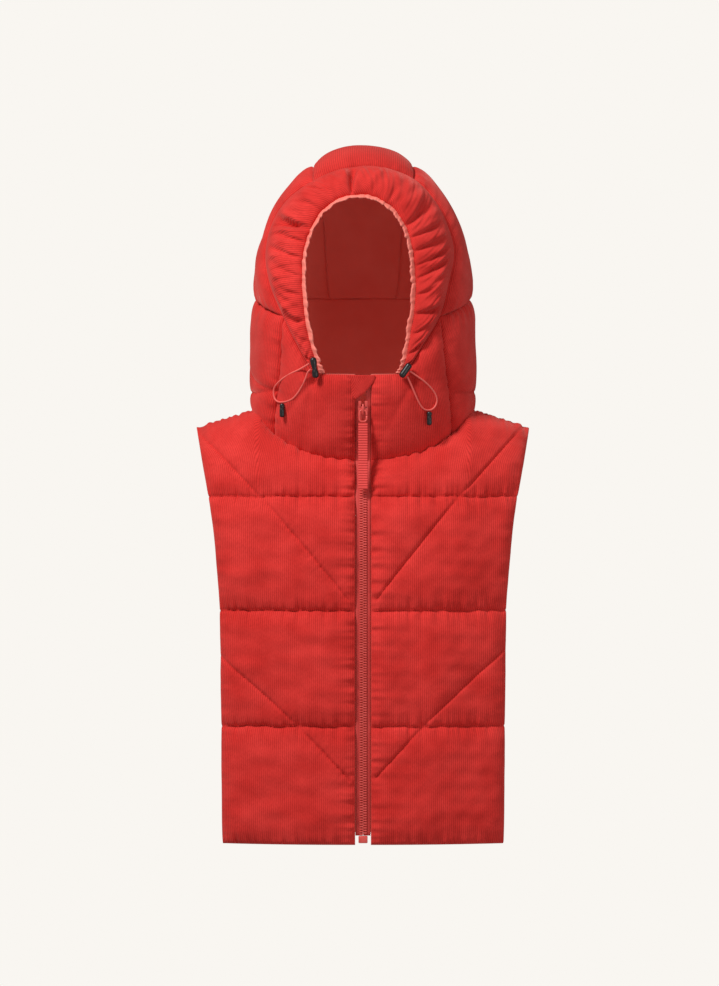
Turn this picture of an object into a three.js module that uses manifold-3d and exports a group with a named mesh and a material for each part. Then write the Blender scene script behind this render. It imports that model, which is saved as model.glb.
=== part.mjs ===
// A sleeveless hooded puffer bib vest, filled out as it is worn, with open sides.
// Millimetres, +Z up, the front faces -Y and +X is the wearer's left.
// The origin is the middle of the neck, level with the top of the shoulders.
// Every cloth piece is a sheet of points with normals, which is then given its
// thickness to both sides, so each piece is a hollow-bodied wall and not a filled form.

import * as THREE from "three";
import { mergeVertices } from "three/addons/utils/BufferGeometryUtils.js";
import Module from "manifold-3d";

// ---------------------------------------------------------------- driving sizes

const SEAM_HALF_GAP = 0.15; // each piece stops this far short of its seam line
const NECK_HALF_GAP = 5; // at the neck seam, where the two sides bend in different steps
const SEAM_HALF_THICK = 1.5; // a padded panel is pressed to 3 mm where it is sewn
const LINING_THICK = 1.2;

const ZIP_HALF = 10.1; // from the middle of the zip to the edge of each front
const HEM_Z = -555;
const QUILT_SEAMS_Z = [-111, -256, -404, HEM_Z];
const SHOULDER_TIP = new THREE.Vector3(215, 0, -23);

const COLLAR_TOP_Z = 45;
const RIDGE_BACK_Z = 150; // height of the seam between the hood and its base, at the back
const NECK_DROP_FRONT = 64; // how far the neck seam dips at the front
const NECK_RISE_BACK = 10;

const HOOD_CENTRE = new THREE.Vector3(0, 10, 130);
const DOME_FOOT_Z = 150; // above this the hood closes over like a dome
const DOME_HEIGHT = 186;
const HOOD_POWER = 2.3; // 2 is an ellipse, and more is squarer

// Plan sections of the hood's middle surface: half width, and depth to front and back.
const HOOD_SECTIONS = [
  { z: -64, half: 128, front: 92, back: 92 },
  { z: 0, half: 136, front: 111, back: 97 },
  { z: 50, half: 136, front: 121, back: 115 },
  { z: 100, half: 135, front: 127, back: 134 },
  { z: 150, half: 133, front: 131, back: 147 },
  { z: 200, half: 133, front: 131, back: 152 },
];

// Half width of the body and its depth to front and back.
const BODY_SECTIONS = [
  { z: -23, half: 215, front: 112, back: 96 },
  { z: -64, half: 206, front: 115, back: 102 },
  { z: -105, half: 198, front: 118, back: 106 },
  { z: -146, half: 191, front: 121, back: 108 },
  { z: -197, half: 186, front: 123, back: 109 },
  { z: -256, half: 182, front: 124, back: 108 },
  { z: -404, half: 180, front: 122, back: 106 },
  { z: HEM_Z, half: 179, front: 118, back: 104 },
];
const SIDE_CURVE = 0.26; // share of the depth that the side edges turn back
const SIDE_CURVE_POWER = 2.4;
const SHOULDER_ROUND = 130; // height over which the body rounds down from the shoulder

// The gathered brim: its sewn edge on the hood, and its free edge round the face.
const BRIM = [
  { part: "right end, at the collar", seamX: -62, seamZ: 46, edgeX: -50, edgeZ: 47 },
  { part: "above the cord lock", seamX: -78, seamZ: 74, edgeX: -58, edgeZ: 67 },
  { part: "ridge corner", seamX: -100, seamZ: 120, edgeX: -69, edgeZ: 108 },
  { part: "cheek", seamX: -116, seamZ: 163, edgeX: -74, edgeZ: 150 },
  { part: "temple", seamX: -122, seamZ: 200, edgeX: -75, edgeZ: 190 },
  { part: "brow", seamX: -115, seamZ: 237, edgeX: -69, edgeZ: 220 },
  { part: "forehead", seamX: -96, seamZ: 268, edgeX: -56, edgeZ: 246 },
  { part: "crown corner", seamX: -62, seamZ: 291, edgeX: -38, edgeZ: 263 },
  { part: "over the top", seamX: -17, seamZ: 308, edgeX: -14, edgeZ: 272 },
  { part: "over the top", seamX: 27, seamZ: 308, edgeX: 13, edgeZ: 270 },
  { part: "crown corner", seamX: 64, seamZ: 295, edgeX: 36, edgeZ: 256 },
  { part: "forehead", seamX: 90, seamZ: 268, edgeX: 52, edgeZ: 233 },
  { part: "brow", seamX: 106, seamZ: 237, edgeX: 60, edgeZ: 206 },
  { part: "temple", seamX: 114, seamZ: 203, edgeX: 63, edgeZ: 175 },
  { part: "cheek", seamX: 107, seamZ: 163, edgeX: 63, edgeZ: 141 },
  { part: "ridge corner", seamX: 96, seamZ: 120, edgeX: 57, edgeZ: 98 },
  { part: "above the cord lock", seamX: 70, seamZ: 74, edgeX: 50, edgeZ: 62 },
  { part: "left end, at the collar", seamX: 54, seamZ: 46, edgeX: 44, edgeZ: 47 },
];
const BRIM_RIDGE_ROW = 2; // rows of BRIM where the other hood seams meet it
const BRIM_CROWN_ROW = 7;
const BRIM_STEPS = 2; // columns of faces to each row of BRIM
const BRIM_PLANE_Y = -119; // the free edge lies close to this plane
const BRIM_BULGE = 17;
const FACING_SHOW = 6; // how far the facing stands inside the brim

const SIDE_SEAM_X = 112; // where the collar's side seams meet the neck seam
const CROWN_TOP_X = 62; // half width of the crown piece over the top
const CROWN_BACK_X = 50; // and at its back end

const PAD_OUT = 9; // how far the padding stands out between seams
const PAD_IN = 5;
const PAD_REACH = 34; // distance from a seam at which the padding is full

const COLOURS = {
  corduroy: 0xe8403b,
  lining: 0xfb8a78,
  zip: 0xd8443e,
  webbing: 0xdc3a34,
  cord: 0xf0645a,
  black_plastic: 0x141212,
};

// ---------------------------------------------------------------- small helpers

const vector = (x, y, z) => new THREE.Vector3(x, y, z);
const mix = (a, b, t) => a + (b - a) * t;
const mixPoints = (a, b, t) => a.clone().lerp(b, t);
const smooth = (t) => {
  const s = Math.min(1, Math.max(0, t));
  return s * s * (3 - 2 * s);
};
const steps = (count) => Array.from({ length: count + 1 }, (_, i) => i / count);

// Reads one column of a section table at a height, as a smooth curve through its rows.
function columnAt(table, z, column) {
  const rows = table[0].z < table[table.length - 1].z ? table : [...table].reverse();
  const last = rows.length - 1;
  if (z <= rows[0].z) return rows[0][column];
  if (z >= rows[last].z) return rows[last][column];
  const k = rows.findIndex((row, i) => i < last && z <= rows[i + 1].z);
  const slope = (i) => {
    const low = rows[Math.max(0, i - 1)];
    const high = rows[Math.min(last, i + 1)];
    return (high[column] - low[column]) / (high.z - low.z);
  };
  const span = rows[k + 1].z - rows[k].z;
  const t = (z - rows[k].z) / span;
  const startEase = (1 + 2 * t) * (1 - t) * (1 - t);
  const endEase = t * t * (3 - 2 * t);
  const startSlope = t * (1 - t) * (1 - t) * span * slope(k);
  const endSlope = t * t * (t - 1) * span * slope(k + 1);
  return rows[k][column] * startEase + rows[k + 1][column] * endEase + startSlope + endSlope;
}

// ---------------------------------------------------------------- the hood's middle surface

// 1 on the surface, less inside it and more outside.
function hoodField(point) {
  const half = columnAt(HOOD_SECTIONS, point.z, "half");
  const depth = columnAt(HOOD_SECTIONS, point.z, point.y < 0 ? "front" : "back");
  const ring = Math.abs(point.x / half) ** HOOD_POWER + Math.abs(point.y / depth) ** HOOD_POWER;
  const rise = Math.max(0, (point.z - DOME_FOOT_Z) / DOME_HEIGHT);
  return ring ** (2 / HOOD_POWER) + rise * rise;
}

// Moves a point out or in along the ray from the hood's centre until it is on the surface.
function ontoHood(point) {
  const ray = point.clone().sub(HOOD_CENTRE);
  let near = 0.2;
  let far = 4;
  for (let i = 0; i < 40; i++) {
    const middle = (near + far) / 2;
    const probe = HOOD_CENTRE.clone().addScaledVector(ray, middle);
    if (hoodField(probe) < 1) near = middle;
    else far = middle;
  }
  return HOOD_CENTRE.clone().addScaledVector(ray, (near + far) / 2);
}

// The surface's front point at a place seen from straight ahead.
function hoodFront(x, z) {
  const rise = Math.max(0, (z - DOME_FOOT_Z) / DOME_HEIGHT);
  const half = columnAt(HOOD_SECTIONS, z, "half");
  const room = Math.max(0, 1 - rise * rise) ** (HOOD_POWER / 2) - Math.abs(x / half) ** HOOD_POWER;
  const depth = columnAt(HOOD_SECTIONS, z, "front");
  return vector(x, -depth * Math.max(0, room) ** (1 / HOOD_POWER), z);
}

function hoodNormal(point) {
  const h = 0.5;
  const slopeAlong = (x, y, z) => {
    const step = vector(x, y, z).multiplyScalar(h);
    return hoodField(point.clone().add(step)) - hoodField(point.clone().sub(step));
  };
  return vector(slopeAlong(1, 0, 0), slopeAlong(0, 1, 0), slopeAlong(0, 0, 1)).normalize();
}

// ---------------------------------------------------------------- seam lines

// The neck seam: turn 0 is the front, 90 degrees the wearer's left, 180 the back.
function neckPoint(turn) {
  const ahead = Math.cos(turn);
  const z = ahead > 0 ? -NECK_DROP_FRONT * ahead : -NECK_RISE_BACK * ahead;
  const half = columnAt(HOOD_SECTIONS, z, "half");
  const depth = columnAt(HOOD_SECTIONS, z, ahead > 0 ? "front" : "back");
  const power = 2 / HOOD_POWER;
  const across = Math.sign(Math.sin(turn)) * Math.abs(Math.sin(turn)) ** power;
  return vector(half * across, -Math.sign(ahead) * depth * Math.abs(ahead) ** power, z);
}

// Both the hood and the body stand on the neck seam, so its normal is halfway between theirs.
function neckNormal(turn) {
  const body = vector(0.4 * Math.sin(turn), -Math.cos(turn), 0.15 + 0.8 * Math.abs(Math.sin(turn)));
  return hoodNormal(neckPoint(turn)).add(body.normalize()).normalize();
}

// The turn at which the neck seam is this far to the side, on its front half.
function neckTurnAt(x) {
  let low = 0;
  let high = Math.PI / 2;
  for (let i = 0; i < 40; i++) {
    const middle = (low + high) / 2;
    if (neckPoint(middle).x < Math.abs(x)) low = middle;
    else high = middle;
  }
  return low * Math.sign(x);
}

function brimCurve(xColumn, zColumn) {
  const points = BRIM.map((row) => vector(row[xColumn], 0, row[zColumn]));
  const curve = new THREE.CatmullRomCurve3(points, false, "catmullrom", 0.5);
  return (row) => curve.getPoint(row / (BRIM.length - 1));
}

const brimSeamPlan = brimCurve("seamX", "seamZ");
const brimEdgePlan = brimCurve("edgeX", "edgeZ");

function brimSeam(row) {
  const plan = brimSeamPlan(row);
  return hoodFront(plan.x, plan.z);
}

function brimEdge(row) {
  const plan = brimEdgePlan(row);
  const fromEnd = Math.min(row, BRIM.length - 1 - row);
  plan.y = mix(hoodFront(plan.x, plan.z).y, BRIM_PLANE_Y, smooth(fromEnd / 2));
  return plan;
}

// A run of points along the brim's seam, from one row of BRIM to another.
function brimRun(fromRow, toRow) {
  const count = Math.abs(toRow - fromRow) * BRIM_STEPS;
  return steps(count).map((t) => brimSeam(mix(fromRow, toRow, t)));
}

// A run of points through a few places, each one brought onto the hood.
function hoodRun(places, count) {
  const curve = new THREE.CatmullRomCurve3(places, false, "catmullrom", 0.5);
  return steps(count).map((t) => ontoHood(curve.getPoint(t)));
}

const LAST_BRIM_ROW = BRIM.length - 1;
const RIDGE_STEPS = 8;
const CROWN_STEPS = [8, 10]; // over the top, and down the back
const BASE_STEPS = 8; // up the side seams

// The rows of BRIM for the wearer's right (side -1) and left (side 1).
function brimRow(side, rowFromEnd) {
  return side < 0 ? rowFromEnd : LAST_BRIM_ROW - rowFromEnd;
}

function crownSeam(side) {
  const top = vector(side * CROWN_TOP_X, 20, 320);
  const behind = vector(side * CROWN_TOP_X, 130, 250);
  const foot = ontoHood(vector(side * CROWN_BACK_X, 145, RIDGE_BACK_Z));
  const start = brimSeam(brimRow(side, BRIM_CROWN_ROW));
  return hoodRun([start, ontoHood(top), ontoHood(behind), foot], CROWN_STEPS[0] + CROWN_STEPS[1]);
}

function ridgeSeam(side) {
  const start = brimSeam(brimRow(side, BRIM_RIDGE_ROW));
  const flank = ontoHood(vector(side * 135, -10, 145));
  const behind = ontoHood(vector(side * 110, 100, RIDGE_BACK_Z));
  const foot = ontoHood(vector(side * CROWN_BACK_X, 145, RIDGE_BACK_Z));
  return hoodRun([start, flank, behind, foot], RIDGE_STEPS);
}

function collarSideSeam(side) {
  const start = neckPoint(neckTurnAt(side * SIDE_SEAM_X));
  const middle = hoodFront(side * 104, 50);
  return hoodRun([start, middle, brimSeam(brimRow(side, BRIM_RIDGE_ROW))], BASE_STEPS);
}

// ---------------------------------------------------------------- sheets

// Fills the space between four edges, each a list of points that runs the same way as
// the edge across from it, and gives a grid of points.
function fillBetween(bottom, top, left, right) {
  const columns = bottom.length - 1;
  const rows = left.length - 1;
  return left.map((_, j) =>
    bottom.map((_, i) => {
      const u = i / columns;
      const v = j / rows;
      const across = mixPoints(left[j], right[j], u);
      const along = mixPoints(bottom[i], top[i], v);
      const low = mixPoints(bottom[0], bottom[columns], u);
      const high = mixPoints(top[0], top[columns], u);
      return across.add(along).sub(mixPoints(low, high, v));
    }),
  );
}

// The same with every inner point brought onto the hood.
function hoodPatch(bottom, top, left, right) {
  const grid = fillBetween(bottom, top, left, right);
  const lastRow = grid.length - 1;
  const lastColumn = grid[0].length - 1;
  return grid.map((row, j) =>
    row.map((point, i) => {
      const onEdge = i === 0 || j === 0 || i === lastColumn || j === lastRow;
      return onEdge ? point : ontoHood(point);
    }),
  );
}

// How far each point of a grid lies from the four edges, measured along the grid's lines.
function edgeDistances(grid) {
  const lengths = (points) => {
    const sums = [0];
    for (let i = 1; i < points.length; i++) {
      sums.push(sums[i - 1] + points[i].distanceTo(points[i - 1]));
    }
    return sums;
  };
  const alongRows = grid.map(lengths);
  const alongColumns = grid[0].map((_, i) => lengths(grid.map((row) => row[i])));
  return grid.map((row, j) =>
    row.map((_, i) => ({
      left: alongRows[j][i],
      right: alongRows[j][row.length - 1] - alongRows[j][i],
      bottom: alongColumns[i][j],
      top: alongColumns[i][grid.length - 1] - alongColumns[i][j],
    })),
  );
}

// 0 at a seam and 1 where the padding is full: a round shoulder between the two.
function padRise(distance) {
  const t = Math.min(1, Math.max(0, distance / PAD_REACH));
  return Math.sqrt(1 - (1 - t) ** 2);
}

const padShare = (d) => padRise(d.left) * padRise(d.right) * padRise(d.bottom) * padRise(d.top);

// Turns a grid of points into a sheet: a grid of points, each with its normal and the
// heights of the solid's two faces over it.
function sheet(grid, normalAt, heightsAt) {
  const distances = edgeDistances(grid);
  return grid.map((row, j) =>
    row.map((point, i) => {
      const [outer, inner] = heightsAt(distances[j][i], i, j);
      return { point, normal: normalAt(point, i, j), outer, inner };
    }),
  );
}

function paddedHeights(distances) {
  const share = padShare(distances);
  return [SEAM_HALF_THICK + PAD_OUT * share, -SEAM_HALF_THICK - PAD_IN * share];
}

// Draws a sheet's edges in by half the seam gap, with a gap of its own on the first row.
function stopShort(sheetGrid, firstRowGapAt = () => SEAM_HALF_GAP) {
  const rows = sheetGrid.length;
  const columns = sheetGrid[0].length;
  const moved = sheetGrid.map((row) => row.map((cell) => ({ ...cell, point: cell.point.clone() })));
  const pull = (j, i, towardsJ, towardsI, gap = SEAM_HALF_GAP) => {
    const from = sheetGrid[j][i].point;
    const direction = sheetGrid[towardsJ][towardsI].point.clone().sub(from).normalize();
    moved[j][i].point.addScaledVector(direction, gap);
  };
  for (let i = 0; i < columns; i++) {
    pull(0, i, 1, i, firstRowGapAt(i));
    pull(rows - 1, i, rows - 2, i);
  }
  for (let j = 0; j < rows; j++) {
    pull(j, 0, j, 1);
    pull(j, columns - 1, j, columns - 2);
  }
  return moved;
}

// Makes one closed body from sheets that share edge points: the outer faces, the inner
// faces, and a wall along every edge that only one sheet has.
function solidFromSheets(sheets) {
  const cells = [];
  const places = new Map();
  const idOf = (cell) => {
    const key = cell.point.toArray().map((n) => Math.round(n * 100)).join(",");
    if (!places.has(key)) {
      places.set(key, cells.length);
      cells.push(cell);
    }
    return places.get(key);
  };

  const faces = [];
  for (const grid of sheets) {
    const ids = grid.map((row) => row.map(idOf));
    const start = grid[0][0].point;
    const across = grid[0][1].point.clone().sub(start);
    const along = grid[1][0].point.clone().sub(start);
    const facesOut = across.cross(along).dot(grid[0][0].normal) > 0;
    for (let j = 0; j < grid.length - 1; j++) {
      for (let i = 0; i < grid[0].length - 1; i++) {
        const corners = [ids[j][i], ids[j][i + 1], ids[j + 1][i + 1], ids[j + 1][i]];
        if (!facesOut) corners.reverse();
        faces.push([corners[0], corners[1], corners[2]]);
        faces.push([corners[0], corners[2], corners[3]]);
      }
    }
  }

  const positions = [];
  const corner = (id, face) => {
    const cell = cells[id];
    const place = cell.point.clone().addScaledVector(cell.normal, cell[face]);
    positions.push(place.x, place.y, place.z);
  };
  const triangle = (...corners) => corners.forEach(([id, face]) => corner(id, face));
  const edges = new Map();
  for (const [a, b, c] of faces) {
    triangle([a, "outer"], [b, "outer"], [c, "outer"]);
    triangle([c, "inner"], [b, "inner"], [a, "inner"]);
    for (const [from, to] of [[a, b], [b, c], [c, a]]) {
      const back = `${to},${from}`;
      if (edges.has(back)) edges.delete(back);
      else edges.set(`${from},${to}`, [from, to]);
    }
  }
  for (const [from, to] of edges.values()) {
    triangle([from, "outer"], [from, "inner"], [to, "inner"]);
    triangle([from, "outer"], [to, "inner"], [to, "outer"]);
  }
  const geometry = new THREE.BufferGeometry();
  geometry.setAttribute("position", new THREE.Float32BufferAttribute(positions, 3));
  return mergeVertices(geometry, 1e-3);
}

// The normals of a grid of points, from its own slopes, turned to face away from a place
// where one is given.
function slopeNormals(grid, awayFrom) {
  const lastRow = grid.length - 1;
  const lastColumn = grid[0].length - 1;
  return grid.map((row, j) =>
    row.map((point, i) => {
      const across = row[Math.min(lastColumn, i + 1)].clone().sub(row[Math.max(0, i - 1)]);
      const along = grid[Math.min(lastRow, j + 1)][i].clone().sub(grid[Math.max(0, j - 1)][i]);
      const normal = across.cross(along).normalize();
      const turned = awayFrom && normal.dot(point.clone().sub(awayFrom)) < 0;
      return turned ? normal.negate() : normal;
    }),
  );
}

// ---------------------------------------------------------------- meshes and materials

function clothMaterial(color, roughness = 0.9) {
  return new THREE.MeshStandardMaterial({ color, roughness, metalness: 0 });
}

const MATERIALS = {
  corduroy: clothMaterial(COLOURS.corduroy, 0.95),
  lining: clothMaterial(COLOURS.lining, 0.7),
  zip: clothMaterial(COLOURS.zip, 0.5),
  webbing: clothMaterial(COLOURS.webbing, 0.8),
  cord: clothMaterial(COLOURS.cord, 0.7),
  black_plastic: clothMaterial(COLOURS.black_plastic, 0.35),
};

const manifold = await Module();
manifold.setup();

// Joins overlapping closed geometries into one body.
function joined(geometries) {
  const solids = geometries.map((geometry) => {
    const bare = geometry.clone();
    bare.deleteAttribute("normal");
    bare.deleteAttribute("uv");
    const merged = mergeVertices(bare, 1e-4);
    const vertProperties = new Float32Array(merged.attributes.position.array);
    const triVerts = new Uint32Array(merged.index.array);
    return new manifold.Manifold(new manifold.Mesh({ numProp: 3, vertProperties, triVerts }));
  });
  const body = solids.reduce((whole, solid) => whole.add(solid)).getMesh();
  const made = new THREE.BufferGeometry();
  made.setAttribute("position", new THREE.BufferAttribute(body.vertProperties, 3));
  made.setIndex(new THREE.BufferAttribute(body.triVerts, 1));
  return made;
}

function mesh(name, geometry, material) {
  const made = new THREE.Mesh(geometry, MATERIALS[material]);
  made.name = name;
  return made;
}

// ---------------------------------------------------------------- hood pieces

const brimAlong = (fromRow, toRow, side) =>
  brimRun(brimRow(side, fromRow), brimRow(side, toRow));

// The collar's top edge, from the zip to the brim's end.
function collarTopEdge(side) {
  const end = brimSeam(brimRow(side, 0));
  return steps(3).map((t) => {
    const x = mix(side * ZIP_HALF, end.x, t);
    return hoodFront(x, mix(COLLAR_TOP_Z, end.z, t));
  });
}

function collarEdges(side) {
  const top = [...collarTopEdge(side), ...brimAlong(0, BRIM_RIDGE_ROW, side).slice(1)];
  const firstTurn = neckTurnAt(side * ZIP_HALF);
  const lastTurn = neckTurnAt(side * SIDE_SEAM_X);
  const bottom = steps(top.length - 1).map((t) => neckPoint(mix(firstTurn, lastTurn, t)));
  const atZip = steps(BASE_STEPS).map((t) => {
    const z = mix(bottom[0].z, COLLAR_TOP_Z, t);
    return hoodFront(side * ZIP_HALF, z);
  });
  return { bottom, top, left: atZip, right: collarSideSeam(side) };
}

function baseEdges() {
  const ridgeRight = ridgeSeam(-1);
  const ridgeLeft = ridgeSeam(1).reverse();
  const back = hoodRun([ridgeRight[RIDGE_STEPS], ridgeLeft[0]], 6);
  const top = [...ridgeRight, ...back.slice(1), ...ridgeLeft.slice(1)];
  const firstTurn = neckTurnAt(-SIDE_SEAM_X);
  const lastTurn = -2 * Math.PI - firstTurn;
  const bottom = steps(top.length - 1).map((t) => neckPoint(mix(firstTurn, lastTurn, t)));
  return { bottom, top, left: collarSideSeam(-1), right: collarSideSeam(1) };
}

function crownEdges() {
  const front = brimRun(BRIM_CROWN_ROW, LAST_BRIM_ROW - BRIM_CROWN_ROW);
  const seamRight = crownSeam(-1);
  const seamLeft = crownSeam(1);
  const back = hoodRun([seamRight[seamRight.length - 1], seamLeft[seamLeft.length - 1]], 6);
  return { bottom: front, top: back, left: seamRight, right: seamLeft };
}

function sideEdges(side) {
  const crown = crownSeam(side);
  const bottom = ridgeSeam(side);
  const top = crown.slice(0, CROWN_STEPS[0] + 1);
  const right = crown.slice(CROWN_STEPS[0]).reverse();
  return { bottom, top, left: brimAlong(BRIM_RIDGE_ROW, BRIM_CROWN_ROW, side), right };
}

const patchOf = ({ bottom, top, left, right }) => hoodPatch(bottom, top, left, right);

// The neck seam's own normal on the lowest row, and the hood's everywhere else.
function normalOverNeck(grid) {
  return (point, i, j) => {
    if (j > 0) return hoodNormal(point);
    const turn = Math.atan2(point.x, -point.y * (columnAt(HOOD_SECTIONS, point.z, "half") / 92));
    return neckNormal(turn);
  };
}

function hoodPiece(name, edges, standsOnNeck) {
  const grid = patchOf(edges);
  const normalAt = standsOnNeck ? normalOverNeck(grid) : hoodNormal;
  const padded = sheet(grid, normalAt, paddedHeights);
  const gapAt = () => (standsOnNeck ? NECK_HALF_GAP : SEAM_HALF_GAP);
  return mesh(name, solidFromSheets([stopShort(padded, gapAt)]), "corduroy");
}

// The brim: a padded band from its seam to its free edge, bulging out between them.
const BRIM_ACROSS = [0, 0.12, 0.3, 0.5, 0.7, 0.88, 1];

function brimFreeEdge(row) {
  const edge = brimEdge(row);
  const towardsSeam = brimSeam(row).sub(edge).normalize();
  return edge.addScaledVector(towardsSeam, FACING_SHOW);
}

function brimRows() {
  return steps(LAST_BRIM_ROW * BRIM_STEPS).map((t) => t * LAST_BRIM_ROW);
}

function brimPiece() {
  const rows = brimRows();
  const flat = BRIM_ACROSS.map((v) =>
    rows.map((row) => mixPoints(brimSeam(row), brimFreeEdge(row), v)),
  );
  const normals = slopeNormals(flat, HOOD_CENTRE);
  const normalAt = (point, i, j) => (j === 0 ? hoodNormal(point) : normals[j][i]);
  const heightsAt = (distances, i, j) => {
    const arch = Math.sin(Math.PI * BRIM_ACROSS[j]) ** 0.7;
    const width = distances.top + distances.bottom;
    const room = Math.min(1, width / 55) * padRise(2 * distances.left) * padRise(2 * distances.right);
    return [SEAM_HALF_THICK + BRIM_BULGE * arch * room, -SEAM_HALF_THICK - 3 * arch * room];
  };
  return mesh("hood_brim", solidFromSheets([stopShort(sheet(flat, normalAt, heightsAt))]), "corduroy");
}

// How far inside the middle surface the lining lies along the brim's seam.
function liningDepth(row) {
  const fromEnd = Math.min(row, LAST_BRIM_ROW - row);
  return mix(3.2, 14, smooth(fromEnd / 3));
}

// The facing: a thin band that shows inside the brim, rolls back round the opening and
// ends at the lining.
function facingPiece() {
  const rows = brimRows();
  const ROLL_BACK = vector(0, 5, 0);
  const lines = [[], [], [], [], []];
  for (const row of rows) {
    const free = brimFreeEdge(row);
    const edge = brimEdge(row);
    const seam = brimSeam(row);
    const inward = hoodNormal(seam).negate();
    const liningEdge = seam.clone().addScaledVector(inward, liningDepth(row) - 0.2);
    liningEdge.add(edge.clone().sub(seam).setLength(1.2));
    const tuck = free.clone().addScaledVector(inward, 3.4);
    const rolled = edge.clone().add(ROLL_BACK);
    lines[0].push(tuck);
    lines[1].push(edge.clone().addScaledVector(inward, 1.2));
    lines[2].push(rolled);
    lines[3].push(mixPoints(rolled, liningEdge, 0.5));
    lines[4].push(liningEdge);
  }
  const normals = slopeNormals(lines);
  const half = LINING_THICK / 2;
  const made = sheet(lines, (point, i, j) => normals[j][i], () => [half, -half]);
  return mesh("hood_facing", solidFromSheets([made]), "lining");
}

// The lining follows the hood's pieces on the inside, as one thin wall.
function liningPiece() {
  const wall = (depth) => [-depth, -depth - LINING_THICK];
  const behindPad = (distances) => SEAM_HALF_THICK + PAD_IN * padShare(distances) + 1.2;
  const collarDepth = (edges) => (distances, i, j) => {
    const onBrim = Math.max(0, i - 3) / (edges.top.length - 4);
    const atTop = mix(3.2, liningDepth(BRIM_RIDGE_ROW), smooth(onBrim));
    const rise = smooth(distances.top / 60);
    const foot = smooth(distances.bottom / 40);
    return wall(Math.max(mix(5, mix(atTop, 14, rise), foot), behindPad(distances)));
  };
  const sheets = [-1, 1].map((side) => {
    const edges = collarEdges(side);
    return sheet(patchOf(edges), normalOverNeck(), collarDepth(edges));
  });
  const base = baseEdges();
  const ridgeDepth = (i) => {
    const fromEnd = Math.min(i, base.top.length - 1 - i);
    return mix(liningDepth(BRIM_RIDGE_ROW), 14, smooth(fromEnd / 3));
  };
  const baseDepth = (distances, i) => {
    const foot = smooth(distances.bottom / 40);
    const rise = smooth(distances.top / 60);
    return wall(Math.max(mix(5, mix(ridgeDepth(i), 14, rise), foot), behindPad(distances)));
  };
  sheets.push(sheet(patchOf(base), normalOverNeck(), baseDepth));
  const upperDepth = (edgeRow) => (distances, i, j) => {
    const seamDepth = edgeRow(i, j);
    const away = smooth(Math.min(distances.left, distances.bottom) / 50);
    return wall(mix(seamDepth, 14, away));
  };
  for (const side of [-1, 1]) {
    const edgeRow = (i, j) => {
      const onBrim = liningDepth(BRIM_RIDGE_ROW + j / BRIM_STEPS);
      return i === 0 ? onBrim : mix(liningDepth(BRIM_RIDGE_ROW), 14, smooth(i / 3));
    };
    sheets.push(sheet(patchOf(sideEdges(side)), hoodNormal, upperDepth(edgeRow)));
  }
  sheets.push(sheet(patchOf(crownEdges()), hoodNormal, () => wall(14)));
  return mesh("hood_lining", solidFromSheets(sheets), "lining");
}

// ---------------------------------------------------------------- body pieces

const BODY_ACROSS_NECK = 6; // columns under the neck seam
const BODY_ACROSS_SHOULDER = 4; // columns under the shoulder seam
const CHANNEL_ROWS = [0, 0.12, 0.34, 0.66, 0.88, 1];

// One line of a body panel's top edge: the neck seam, then the shoulder seam.
function bodyTopEdge(side, face) {
  const sideTurn = Math.PI / 2;
  const middleTurn = face < 0 ? neckTurnAt(ZIP_HALF) : Math.PI;
  const neck = steps(BODY_ACROSS_NECK).map((t) => mix(middleTurn, sideTurn, t) * side);
  const points = neck.map((turn) => ({ point: neckPoint(turn), normal: neckNormal(turn) }));
  const shoulderStart = neckPoint(sideTurn * side);
  const tip = SHOULDER_TIP.clone().multiply(vector(side, 1, 1));
  const ridge = tip.clone().sub(shoulderStart);
  const ridgeNormal = vector(-ridge.z * side, 0, Math.abs(ridge.x)).normalize();
  for (const t of steps(BODY_ACROSS_SHOULDER).slice(1)) {
    points.push({ point: mixPoints(shoulderStart, tip, t), normal: ridgeNormal.clone() });
  }
  return points;
}

// Rounds from the top edge down to the panel's full depth.
function bodyPoint(top, hemShare, face, z) {
  const half = columnAt(BODY_SECTIONS, z, "half");
  const topHalf = columnAt(BODY_SECTIONS, top.z, "half");
  const down = Math.min(1, (top.z - z) / (top.z - QUILT_SEAMS_Z[0]));
  const share = mix(top.x / topHalf, hemShare, smooth(down));
  const x = share * half;
  const depth = columnAt(BODY_SECTIONS, z, face < 0 ? "front" : "back");
  const full = face * depth * (1 - SIDE_CURVE * Math.abs(share) ** SIDE_CURVE_POWER);
  const t = Math.min(1, (top.z - z) / SHOULDER_ROUND);
  const power = mix(0.85, 0.5, smooth(Math.abs(top.x) / 120));
  return vector(x, mix(top.y, full, (1 - (1 - t) ** 2) ** power), z);
}

function bodyGrid(side, face) {
  const top = bodyTopEdge(side, face);
  const middle = face < 0 ? ZIP_HALF / columnAt(BODY_SECTIONS, HEM_Z, "half") : 0;
  const lastColumn = top.length - 1;
  const hemShares = top.map((_, i) => side * mix(middle, 1, i / lastColumn));
  const heights = (topZ) => {
    const list = [topZ];
    let from = topZ;
    for (const seamZ of QUILT_SEAMS_Z) {
      list.push(...CHANNEL_ROWS.slice(1).map((s) => mix(from, seamZ, s)));
      from = seamZ;
    }
    return list;
  };
  const columns = top.map((edge, i) =>
    heights(edge.point.z).map((z) => {
      const point = bodyPoint(edge.point, hemShares[i], face, z);
      if (face < 0 && i === 0) point.x = side * ZIP_HALF;
      return point;
    }),
  );
  const grid = columns[0].map((_, j) => columns.map((column) => column[j]));
  return { grid, topNormals: top.map((edge) => edge.normal) };
}

function joinHalves(right, left) {
  return right.map((row, j) => [...row.slice(1).reverse(), ...left[j]]);
}

const BODY_MIDDLE = vector(0, 0, -250);

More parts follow.
